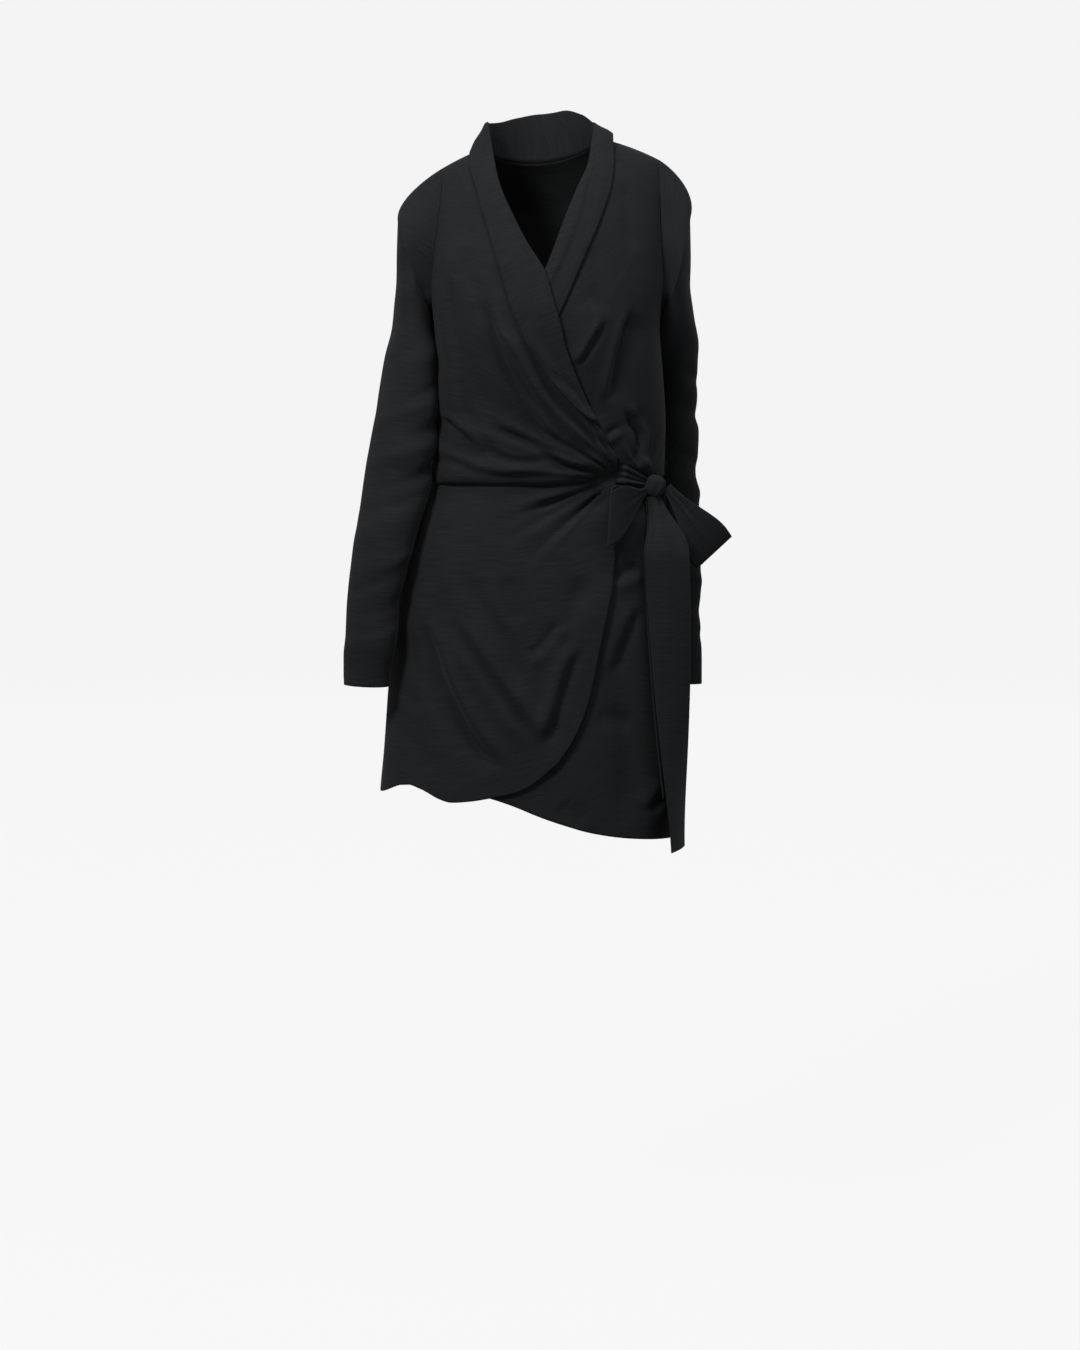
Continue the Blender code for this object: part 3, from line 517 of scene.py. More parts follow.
SKIRT_FOLDS = Folds((
    Fold(((-158, -585), (-117, -684), (-54, -770)), 17, -3.8, -7.5),
    Fold(((-112, -590), (-57, -670), (-12, -738)), 16, 2.5, 6.2),
    Fold(((60, -540), (34, -628), (8, -730)), 16, 3.8, 6.2),
    Fold(((86, -428), (32, -443), (-24, -462)), 14, -5.0, -2.5),
    Fold(((-182, -600), (-169, -692), (-148, -790)), 18, -3.5, -4.3),
    Fold(((98, -575), (107, -706), (112, -850)), 18, -3.8, -7.5),
    Fold(((152, -640), (154, -745), (150, -860)), 16, 3.8, 6.2),
    Fold(((94, -401), (59, -418), (26, -430), (-12, -446)), 11, 5.8, 2.9, Crease.RIDGE_RIGHT),
    Fold(((90, -418), (48, -446), (4, -472)), 13, -3.9, -1.8),
    Fold(((-156, -573), (-134, -619), (-115, -667), (-79, -733), (-42, -768)), 13, 4.8, 8.2, Crease.RIDGE_LEFT),
    Fold(((-110, -578), (-84, -619), (-57, -656), (-21, -707), (-9, -733)), 13, 4.9, 7.9, Crease.RIDGE_LEFT),
    Fold(((-96, -512), (-76, -556), (-42, -611), (-21, -677)), 12, -3.5, -4.8),
    Fold(((-42, -525), (-34, -551), (-26, -585)), 12, -2.1, -2.5),
    Fold(((25, -578), (9, -601), (-6, -616), (-21, -621)), 11, 3.8, 2.4, Crease.RIDGE_LEFT),
    Fold(((54, -520), (44, -556), (35, -611), (27, -631)), 13, -5.1, -3.9),
    Fold(((54, -606), (40, -636), (27, -677), (11, -738)), 13, 5.5, 7.9, Crease.RIDGE_RIGHT),
    Fold(((-172, -568), (-159, -646), (-150, -707), (-135, -784)), 14, 1.9, 2.9, Crease.RIDGE_LEFT),
    Fold(((-165, -593), (-145, -656), (-127, -699)), 12, -2.0, -1.8),
    Fold(((-168, -656), (-170, -703), (-170, -746)), 11, -1.8, -2.3),
    Fold(((87, -533), (106, -521), (124, -514)), 12, 4.2, 3.8, Crease.RIDGE_RIGHT),
    Fold(((124, -563), (105, -616), (93, -651)), 13, 4.8, 3.4, Crease.RIDGE_RIGHT),
    Fold(((67, -699), (88, -702), (118, -712)), 12, -3.0, -3.4),
    Fold(((159, -786), (149, -805), (135, -825)), 12, 4.2, 3.4, Crease.RIDGE_RIGHT),
    Fold(((25, -805), (40, -818), (55, -832)), 13, -3.0, -2.5),
), (Gathers(98, -402, 190, 2.4, -48, -4),))
BACK_FOLDS = Folds((
    Fold(((-96, -130), (-66, -230), (-20, -330)), 18, -3.8, -6.2),
    Fold(((100, -140), (70, -242), (30, -336)), 18, -3.8, -5.6),
    Fold(((-120, -340), (-78, -362), (-30, -376)), 16, -5.0, -3.8),
    Fold(((-110, -560), (-113, -695), (-104, -838)), 20, -2.5, -8.8),
    Fold(((-36, -600), (-42, -716), (-38, -845)), 22, 2.5, 8.8),
    Fold(((34, -590), (34, -711), (42, -855)), 20, -2.5, -8.8),
    Fold(((112, -560), (112, -704), (104, -858)), 22, 2.5, 8.8),
    Fold(((-118, -96), (-84, -120), (-40, -128)), 12, 3.0, 2.1, Crease.RIDGE_RIGHT),
    Fold(((122, -100), (92, -126), (52, -138)), 12, 3.0, 2.1, Crease.RIDGE_LEFT),
    Fold(((-104, -210), (-70, -272), (-40, -334)), 11, 3.0, 4.6, Crease.RIDGE_LEFT),
    Fold(((112, -216), (84, -280), (48, -350)), 11, 3.0, 4.6, Crease.RIDGE_RIGHT),
    Fold(((-60, -372), (-8, -384), (52, -378)), 10, 3.0, 3.7, Crease.RIDGE_LEFT),
    Fold(((-20, -350), (30, -362), (88, -352)), 11, -3.0, -2.2),
    Fold(((-92, -432), (-84, -500), (-80, -570)), 12, -3.4, -1.9),
    Fold(((-30, -436), (-24, -492), (-28, -566)), 12, 3.0, 2.2),
    Fold(((28, -434), (36, -510), (34, -590)), 12, -3.0, -1.9),
    Fold(((92, -432), (88, -490), (92, -560)), 12, 3.0, 1.9),
    Fold(((-72, -640), (-78, -730), (-70, -815)), 12, 3.0, 5.1, Crease.RIDGE_LEFT),
    Fold(((-4, -660), (2, -750), (-2, -826)), 12, -2.6, -4.1),
    Fold(((76, -640), (80, -740), (74, -836)), 12, 3.0, 5.1, Crease.RIDGE_RIGHT),
    Fold(((146, -620), (148, -730), (140, -850)), 12, -3.0, -3.7),
))


def section(side: Side, lean: Array, half: Array, depth: Array, centre: Array) -> tuple[Array, Array]:
    """Gives points round one section.

    Args:
        side: the front or the back half.
        lean: sine of the way round, -1 at the wearer's right.
        half: half width of the section.
        depth: how far it stands out.
        centre: its middle, across.

    Returns:
        Their x and y.
    """
    full = FULL_FRONT if side is Side.FRONT else FULL_BACK
    flat = np.clip(1 - np.abs(lean) ** full, 0, 1) ** (1 / full)
    return centre + half * lean, side.value * depth * flat


def climb(x: Array, z: Array) -> Array:
    """Gives how far the waist is pulled up towards the end of the wrap."""
    return SASH_PULL * bump_at(96, 42, x) * bump_at(-414, 26, z)


def bodice_form(side: Side, lean: Array, along: Array) -> Array:
    """Gives points of the smooth bodice at a way round and a distance up the cloth."""
    depth = BODICE.at("front" if side is Side.FRONT else "back", along)
    x, y = section(side, lean, BODICE.at("half", along), depth, BODICE.at("centre", along))
    tilt = SHOULDER_TILT * ramp(100, SHOULDER, along) * (x - 13)
    z = BODICE.at("height", along) + BODICE.at("rise", along) * (1 - lean**2) + tilt
    if side is Side.FRONT:
        z = z + climb(x, z)
    return np.stack([x, y, z], -1)


def skirt_form(side: Side, lean: Array, drop: Array) -> Array:
    """Gives points of the smooth skirt at a way round and a drop."""
    depth = SKIRT.at("front" if side is Side.FRONT else "back", drop)
    x, y = section(side, lean, SKIRT.at("half", drop), depth, SKIRT.at("centre", drop))
    z = -drop + 0 * x
    if side is Side.FRONT:
        z = z + climb(x, z)
    return np.stack([x, y, z], -1)


def moved_out(form: Callable[..., Array], side: Side, lean: Array, place: Array, amount: Array) -> Array:
    """Moves points of a form along its outward normal, which is level at the waist seam.

    Args:
        form: bodice_form or skirt_form.
        side: the front or the back half.
        lean: way round of each point.
        place: its distance along the form.
        amount: how far it moves.

    Returns:
        The moved points.
    """
    point = form(side, lean, place)
    tiny = 1e-3
    across = form(side, np.clip(lean + tiny, -1, 1), place) - form(side, np.clip(lean - tiny, -1, 1), place)
    up = form(side, lean, place + 0.5) - form(side, lean, place - 0.5)
    normal = np.cross(across, up)
    normal[..., 2] *= ramp(0, 40, np.abs(point[..., 2] - WAIST_HEIGHT) - 2)
    length = np.linalg.norm(normal, axis=-1, keepdims=True)
    normal = normal / np.where(length == 0, 1, length)
    facing = np.sign((normal * point * (1, 1, 0)).sum(-1, keepdims=True))
    return point + normal * facing * np.asarray(amount)[..., None]


def lean_at(form: Table, across: Array | float, place: Array | float) -> Array:
    """Gives the way round a section at which it is that far across."""
    return np.clip((across - form.at("centre", place)) / form.at("half", place), -1, 1)


def drop_of(lean: Array, along: Array) -> Array:
    """Gives the distance below the shoulders of points on the front of the bodice."""
    return -bodice_form(Side.FRONT, lean, along)[..., 2]


def neck_lean(neck: Table, column: str, along: Array) -> Array:
    """Finds the way round the bodice of a neckline at each distance up the cloth."""
    lean = lean_at(BODICE, neck.at(column, -BODICE.at("height", along)), along)
    for _ in range(6):
        lean = lean_at(BODICE, neck.at(column, drop_of(lean, along)), along)
    return lean


def armhole_lean(along: Array) -> Array:
    """Gives the way round the bodice of the armhole seam."""
    return BODICE.at("armhole", along) / BODICE.at("half", along)


def spread(start: Array, end: Array, count: int) -> Array:
    """Divides the way round from start to end, which are sines, into even angles."""
    a, b = np.arcsin(np.clip(start, -1, 1)), np.arcsin(np.clip(end, -1, 1))
    return np.sin(a[..., None] + (b - a)[..., None] * np.linspace(0, 1, count + 1))


def inset(grid: Array, top: float = 0.0, bottom: float = 0.0, left: float = 0.0, right: float = 0.0) -> Array:
    """Draws the edges of a grid of points back from their seams.

    Args:
        grid: rows of points, changed in place.
        top: distance at the last row.
        bottom: distance at the first row.
        left: distance at the first column.
        right: distance at the last column.

    Returns:
        The same grid.
    """
    every = slice(None)
    for edge, inner, amount in (
        ((0, every), (2, every), bottom),
        ((-1, every), (-3, every), top),
        ((every, 0), (every, 2), left),
        ((every, -1), (every, -3), right),
    ):
        if amount:
            away = grid[inner] - grid[edge]
            grid[edge] += away * (amount / np.linalg.norm(away, axis=-1, keepdims=True))
    return grid


def bloused(grid: Array, along: Array, spill: float) -> Array:
    """Lets the lower edge of the bodice spill over the waist seam, unevenly.

    Args:
        grid: points of a panel of the bodice.
        along: their distance up the cloth.
        spill: how far the spill stands out at most.

    Returns:
        The points with the spill.
    """
    x = grid[..., 0]
    uneven = 0.72 + 0.2 * np.sin(x / 19 + 0.7) + 0.13 * np.sin(x / 8.3 + 2.0)
    pulled = 1 - 0.85 * bump_at(104, 26, x)
    share = bump_at(15, 13, along) * uneven * pulled
    out = grid * (1, 1, 0)
    out = out / np.linalg.norm(out, axis=-1, keepdims=True)
    down = np.array((0.0, 0.0, -1.35 * spill))
    return grid + (out * spill + down) * share[..., None] * ramp(0, 9, along)[..., None]


def bodice_rows(count: int) -> Array:
    """Spaces rows up the bodice, closer together near the shoulder seam."""
    share = np.linspace(0, 1, count + 1)
    return SHOULDER * (share + 0.06 * np.sin(2 * math.pi * share) / (2 * math.pi) * 2)


def right_lift(x: Array, z: Array) -> Array:
    """Gives the height of the right front over the left one."""
    over = ramp(-140, -108, x) * ramp(-95, -150, z)
    room = COLLAR_ROOM * bump_at(6, 48, x) * bump_at(-186, 46, z)
    return over * LAYER + room * ramp(-110, -140, z)


def no_lift(x: Array, z: Array) -> Array:
    """Gives no height over the form."""
    return 0 * x


def skirt_lift(x: Array, z: Array) -> Array:
    """Gives the height of the overlap, whose free edge stands a little off."""
    edge = OVERLAP_EDGE.at("across", np.clip(-z, 384, 754))
    off = 3.0 * bump_at(0, 26, x - edge) * ramp(-470, -560, z)
    return right_lift(x, -300 + 0 * z) + off


@dataclass
class Sheet:
    """One piece of cloth, as a grid of points on its middle surface."""

    name: str
    grid: Array
    cloth: Cloth
    hold: Hold
    nodes: tuple[str, ...]
    wrap: bool = False
    rests_on: tuple[str, ...] = ()
    cut: tuple[float, float] = (0.0, 0.0)
    layers: int = 1

    def faces(self) -> list[tuple[int, int, int, int]]:
        """Gives the four corners of each face, counted along the rows."""
        rows, columns = self.grid.shape[:2]
        last = columns if self.wrap else columns - 1
        i, j = np.meshgrid(np.arange(rows - 1), np.arange(last), indexing="ij")
        a, b = i * columns + j, i * columns + (j + 1) % columns
        return np.stack([a, b, b + columns, a + columns], -1).reshape(-1, 4).tolist()

    def lengths(self) -> tuple[Array, Array]:
        """Gives how far along its row and its column each point lies, in metres."""
        across = np.linalg.norm(np.diff(self.grid, axis=1), axis=2).cumsum(axis=1)
        along = np.linalg.norm(np.diff(self.grid, axis=0), axis=2).cumsum(axis=0)
        across = np.concatenate([np.zeros((len(across), 1)), across], axis=1)
        along = np.concatenate([np.zeros((1, along.shape[1])), along], axis=0)
        return across * MM, along * MM

    def cut_size(self) -> tuple[float, float, float]:
        """Gives the width, length and area of the flat cut, in metres."""
        across, along = self.lengths()
        closing = 0.0
        if self.wrap:
            closing = float(np.linalg.norm(self.grid[:, 0] - self.grid[:, -1], axis=1).max()) * MM
        width = float(across[:, -1].max()) + closing
        length = float(along[-1].max())
        corners = self.grid
        if self.wrap:
            corners = np.concatenate([corners, corners[:, :1]], axis=1)
        a = corners[1:, 1:] - corners[:-1, :-1]
        b = corners[1:, :-1] - corners[:-1, 1:]
        area = 0.5 * float(np.linalg.norm(np.cross(a, b), axis=2).sum()) * MM * MM
        return round(width, 3), round(length, 3), min(round(area, 4), round(width, 3) * round(length, 3))

    def build(self, wardrobe: Wardrobe) -> bpy.types.Object:
        """Args:
            wardrobe: the collection and materials to use.

        Returns:
            The piece.
        """
        mesh = bpy.data.meshes.new(self.name)
        mesh.from_pydata((self.grid.reshape(-1, 3) * MM).tolist(), [], self.faces())
        across, along = self.lengths()
        layer = mesh.uv_layers.new(name="UVMap")
        corners = np.empty(len(mesh.loops), np.int32)
        mesh.loops.foreach_get("vertex_index", corners)
        places = np.stack([across.ravel(), along.ravel()], -1)[corners]
        layer.data.foreach_set("uv", places.ravel().astype(np.float32))
        mesh.shade_smooth()
        mesh.materials.append(wardrobe.materials[self.cloth])
        piece = bpy.data.objects.new(self.name, mesh)
        wardrobe.collection.objects.link(piece)
        wall = piece.modifiers.new("Wall", "SOLIDIFY")
        wall.thickness = CLOTH * MM
        wall.offset = 0
        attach(piece, "root")
        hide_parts(*self.nodes)
        width, length, area = self.cut_size()
        list(self.rests_on)
        LOG.info("%s: %d points, cut %.3f x %.3f m, %.4f m2", self.name, self.grid.size // 3, width, length, area)
        return piece


@dataclass(frozen=True)
class CrepeFinish:
    """Matt fine knit with faint crosswise slubs."""

    name: str
    colour: tuple[float, float, float] = (0.0055, 0.0058, 0.0063)
    slub: tuple[float, float, float] = (0.0105, 0.0109, 0.0118)
    roughness: float = 0.88
    specular: float = 0.08
    sheen: float = 0.03
    slub_height: float = 0.00022
    slub_scale: tuple[float, float, float] = (26.0, 1150.0, 1.0)
    weave_scale: float = 2400.0

    def build(self) -> bpy.types.Material:
        """Makes the material: slubs in colour and relief over a fine weave."""
        material = bpy.data.materials.new(self.name)
        material.use_nodes = True
        tree = material.node_tree
        shader = tree.nodes["Principled BSDF"]
        shader.inputs["Roughness"].default_value = self.roughness
        shader.inputs["Specular IOR Level"].default_value = self.specular
        shader.inputs["Sheen Weight"].default_value = self.sheen
        shader.inputs["Sheen Roughness"].default_value = 0.55
        shader.inputs["Sheen Tint"].default_value = (0.55, 0.56, 0.6, 1.0)
        places = tree.nodes.new("ShaderNodeTexCoord")
        stretch = tree.nodes.new("ShaderNodeMapping")
        stretch.inputs["Scale"].default_value = self.slub_scale
        slubs = tree.nodes.new("ShaderNodeTexNoise")
        slubs.inputs["Scale"].default_value = 1.0
        slubs.inputs["Detail"].default_value = 2.0
        weave = tree.nodes.new("ShaderNodeTexNoise")
        weave.inputs["Scale"].default_value = self.weave_scale
        weave.inputs["Detail"].default_value = 1.0
        colours = tree.nodes.new("ShaderNodeValToRGB")
        colours.color_ramp.elements[0].position = 0.42
        colours.color_ramp.elements[0].color = (*self.colour, 1.0)
        colours.color_ramp.elements[1].position = 0.74
        colours.color_ramp.elements[1].color = (*self.slub, 1.0)
        relief = tree.nodes.new("ShaderNodeMath")
        relief.operation = "MULTIPLY_ADD"
        relief.inputs[1].default_value = 0.4
        bump = tree.nodes.new("ShaderNodeBump")
        bump.inputs["Strength"].default_value = 0.7
        bump.inputs["Distance"].default_value = self.slub_height
        link = tree.links.new
        link(places.outputs["UV"], stretch.inputs["Vector"])
        link(stretch.outputs["Vector"], slubs.inputs["Vector"])
        link(places.outputs["UV"], weave.inputs["Vector"])
        link(slubs.outputs["Fac"], colours.inputs["Fac"])
        link(colours.outputs["Color"], shader.inputs["Base Color"])
        link(weave.outputs["Fac"], relief.inputs[0])
        link(slubs.outputs["Fac"], relief.inputs[2])
        link(relief.outputs["Value"], bump.inputs["Height"])
        link(bump.outputs["Normal"], shader.inputs["Normal"])
        return material


@dataclass
class Wardrobe:
    """Collection and materials that the pieces share."""

    collection: bpy.types.Collection
    materials: dict[Cloth, bpy.types.Material]

    @classmethod
    def fitted(cls) -> Wardrobe:
        """Makes the collection and the finish of each material slot."""
        collection = bpy.data.collections.new("wrap_dress")
        bpy.context.scene.collection.children.link(collection)
        finishes = {
            Cloth.OUTER: CrepeFinish("crepe"),
            # the darker slub colour here is painted shade on the underlap and the back pieces
            Cloth.UNDER: CrepeFinish("crepe_under", slub=(0.0098, 0.0102, 0.011)),
            Cloth.SASH: CrepeFinish("sash"),
            Cloth.THREAD: CrepeFinish("thread", roughness=0.7, slub_scale=(2000.0, 200.0, 1.0)),
        }
        return cls(collection, {cloth: finish.build() for cloth, finish in finishes.items()})


@dataclass
class Bodice:
    """Upper part: two fronts that cross, the back and the shawl collar."""

    rows: int = 150
    front_columns: int = 110
    back_columns: int = 108
    collar_sections: int = 220
    collar_lines: int = 42

    def front(self, neck: Table, start_at_neck: bool, lift: Lift) -> Array:
        """Shapes one front.

        Args:
            neck: the table of its free edge.
            start_at_neck: whether its first column is the free edge.
            lift: height over the form.

        Returns:
            Its grid, from the waist seam up.
        """
        along = bodice_rows(self.rows)[:, None]
        edge = neck_lean(neck, "seam", along)
        side = armhole_lean(along) * (1 if start_at_neck else -1)
        low, high = (edge, side) if start_at_neck else (side, edge)
        lean = spread(low[:, 0], high[:, 0], self.front_columns)
        along = along + 0 * lean
        flat = bodice_form(Side.FRONT, lean, along)
        out = BODICE_FOLDS.depth(flat[..., 0], flat[..., 2]) * ramp(0, 24, along) * ramp(SHOULDER, 410, along)
        out = out * ramp(1, 0.97, np.abs(lean)) + lift(flat[..., 0], flat[..., 2])
        return bloused(moved_out(bodice_form, Side.FRONT, lean, along, out), along, 1.3)

    def back(self) -> Array:
        """Shapes the back, whose middle third ends at the neckline."""
        base = bodice_rows(self.rows)[:, None]
        right = float(lean_at(BODICE, HPS_RIGHT, SHOULDER))
        left = float(lean_at(BODICE, HPS_LEFT, SHOULDER))
        third = self.back_columns // 3
        quarter = math.pi / 2
        share = np.concatenate([
            np.linspace(-1, np.arcsin(right) / quarter, third + 1)[:-1],
            np.linspace(np.arcsin(right), np.arcsin(left), third + 1) / quarter,
            np.linspace(np.arcsin(left) / quarter, 1, third + 1)[1:],
        ])
        lean = np.sin(np.arcsin(np.clip(armhole_lean(base), 0, 1)) * share)
        middle = (share - share[third]) / (share[2 * third] - share[third]) * 2 - 1
        dip = NECK_DIP * np.sqrt(np.clip(1 - middle**2, 0, 1)) ** 1.2
        along = base - dip * ramp(262, SHOULDER, base)
        flat = bodice_form(Side.BACK, lean, along)
        out = BACK_FOLDS.depth(flat[..., 0], flat[..., 2]) * ramp(0, 24, along) * ramp(SHOULDER, 400, along)
        grid = moved_out(bodice_form, Side.BACK, lean, along, out * ramp(1, 0.95, np.abs(lean)))
        return bloused(grid, along, 1.3)

    def on_front(self, across: Array, drop: Array, amount: Array, lift: Lift) -> Array:
        """Finds points of the front at places seen from the front.

        Args:
            across: their x.
            drop: their distance below the shoulders.
            amount: how far off the cloth they lie.
            lift: height of that front over the form.

        Returns:
            The points.
        """
        low, high = np.zeros(np.shape(across)), np.full(np.shape(across), SHOULDER - 0.5)
        for _ in range(24):
            half = (low + high) / 2
            above = drop_of(lean_at(BODICE, across, half), half) < drop
            high, low = np.where(above, half, high), np.where(above, low, half)
        lean = lean_at(BODICE, across, low)
        out = BODICE_FOLDS.depth(across, -drop) * ramp(0, 24, low) * ramp(SHOULDER, 410, low)
        return moved_out(bodice_form, Side.FRONT, lean, low, out + lift(across, -drop) + amount)

    def front_collar(self, neck: Table, first: float, last: float, sign: int, lift: Lift) -> Array:
        """Shapes the collar over one front, as rows of points from its low end up."""
        drop = np.linspace(last, first, 60)
        roll, seam, edge = (neck.at(name, drop) for name in ("roll", "seam", "edge"))
        share = ramp(last + 4, last - 60, drop)
        lines = (
            (seam + sign * 1.5, 0.0),
            (roll - sign * 1.0, 0.2),
            (roll + sign * 1.0, COLLAR_LIFT / 2),
            (roll - sign * 1.2, COLLAR_LIFT),
            (roll * 0.72 + edge * 0.28, COLLAR_LIFT + 1.2 * share),
            (roll * 0.36 + edge * 0.64, COLLAR_LIFT + 0.6 * share),
            (edge, COLLAR_LIFT - 0.6),
        )
        return np.stack([self.on_front(x, drop, np.asarray(h) + 0 * x, lift) for x, h in lines], 1)

    def neck_collar(self) -> Array:
        """Shapes the stand and fall of the collar round the back of the neck."""
        third = self.back_columns // 3
        neckline = self.back()[-1, third : 2 * third + 1]
        up = np.array((0.0, 0.0, 1.0))
        rows = []
        for share, seam in zip(np.linspace(0, 1, len(neckline)), neckline):
            out = (seam - NECK_CENTRE) * (1, 1, 0)
            out /= np.linalg.norm(out)
            seam = seam + up * 0.3
            roll = seam + out * BACK_COLLAR.at("roll_out", share) + up * BACK_COLLAR.at("roll_up", share)
            edge = seam + out * BACK_COLLAR.at("edge_out", share) + up * BACK_COLLAR.at("edge_up", share)
            rows.append((
                seam,
                seam * 0.35 + roll * 0.65 - out * 0.6,
                roll + up * ROLL + out * ROLL * 0.4,
                roll + out * 2 * ROLL,
                roll * 0.72 + edge * 0.28 + out * 2.4,
                roll * 0.36 + edge * 0.64 + out * 2.6,
                edge,
            ))
        return np.array(rows)

    def collar(self) -> Array:
        """Joins the collar's three stretches and divides them finely both ways."""
        right = self.front_collar(RIGHT_NECK, 22, RIGHT_COLLAR_END, 1, right_lift)
        left = self.front_collar(LEFT_NECK, 18, LEFT_COLLAR_END, -1, no_lift)
        rows = np.concatenate([right, self.neck_collar(), left[::-1]])
        length = np.concatenate([[0], np.cumsum(np.linalg.norm(np.diff(rows[:, 3], axis=0), axis=1))])
        at = np.linspace(0, length[-1], self.collar_sections + 1)
        flat = rows.reshape(len(rows), -1)
        grid = np.stack([smooth(length, flat[:, i], at) for i in range(flat.shape[1])], -1)
        grid = grid.reshape(len(at), 7, 3)
        lines = np.linspace(0, 6, self.collar_lines + 1)
        flat = np.moveaxis(grid, 1, 0).reshape(7, -1)
        fine = np.stack([smooth(np.arange(7.0), flat[:, i], lines) for i in range(flat.shape[1])], -1)
        fine = np.moveaxis(fine.reshape(len(lines), len(at), 3), 0, 1)
        return self.creased(fine, at / length[-1], lines)

    def creased(self, grid: Array, share: Array, lines: Array) -> Array:
        """Presses long creases into the fall of the collar where it crosses the front.

        Args:
            grid: the collar's points.
            share: the way along the collar of each row, from its low right end.
            lines: the way over it of each column, 0 at the seam and 6 at the rim.

        Returns:
            The points with the creases.
        """
        low = ramp(0.02, 0.10, share) * ramp(0.36, 0.22, share)
        other = ramp(0.98, 0.92, share) * ramp(0.68, 0.8, share)
        line = 4.1 + 0.5 * np.sin(share * 16)[:, None] - lines[None]
        crease = -1.9 * np.exp(-((line / 0.28) ** 2)) + 1.6 * np.exp(-(((line - 0.6) / 0.5) ** 2))
        second = 1.3 * np.exp(-(((line + 1.0) / 0.45) ** 2)) - 0.9 * np.exp(-(((line + 0.55) / 0.25) ** 2))
        depth = (crease + second) * (low + 0.7 * other)[:, None]
        out = grid * (1, 1, 0)
        out = out / np.linalg.norm(out, axis=-1, keepdims=True)
        return grid + out * depth[..., None]

    def build(self, wardrobe: Wardrobe) -> list[bpy.types.Object]:
        """Builds the four pieces."""
        right = inset(self.front(RIGHT_NECK, False, right_lift), SEAM, TURNED_SEAM, SEAM, SEAM)
        left = inset(self.front(LEFT_NECK, True, no_lift), SEAM, TURNED_SEAM, SEAM, SEAM)
        back = inset(self.back(), SEAM, TURNED_SEAM, SEAM, SEAM)
        sheets = (
            Sheet("front_right", right, Cloth.OUTER, Hold.GATHERED, ("bodice_front_right",)),
            Sheet("front_left", left, Cloth.UNDER, Hold.GATHERED, ("bodice_front_left",)),
            Sheet("back", back, Cloth.UNDER, Hold.HUNG, ("bodice_back",)),
            Sheet("shawl_collar", self.collar(), Cloth.OUTER, Hold.FOLDED, ("collar",)),
        )
        return [sheet.build(wardrobe) for sheet in sheets]


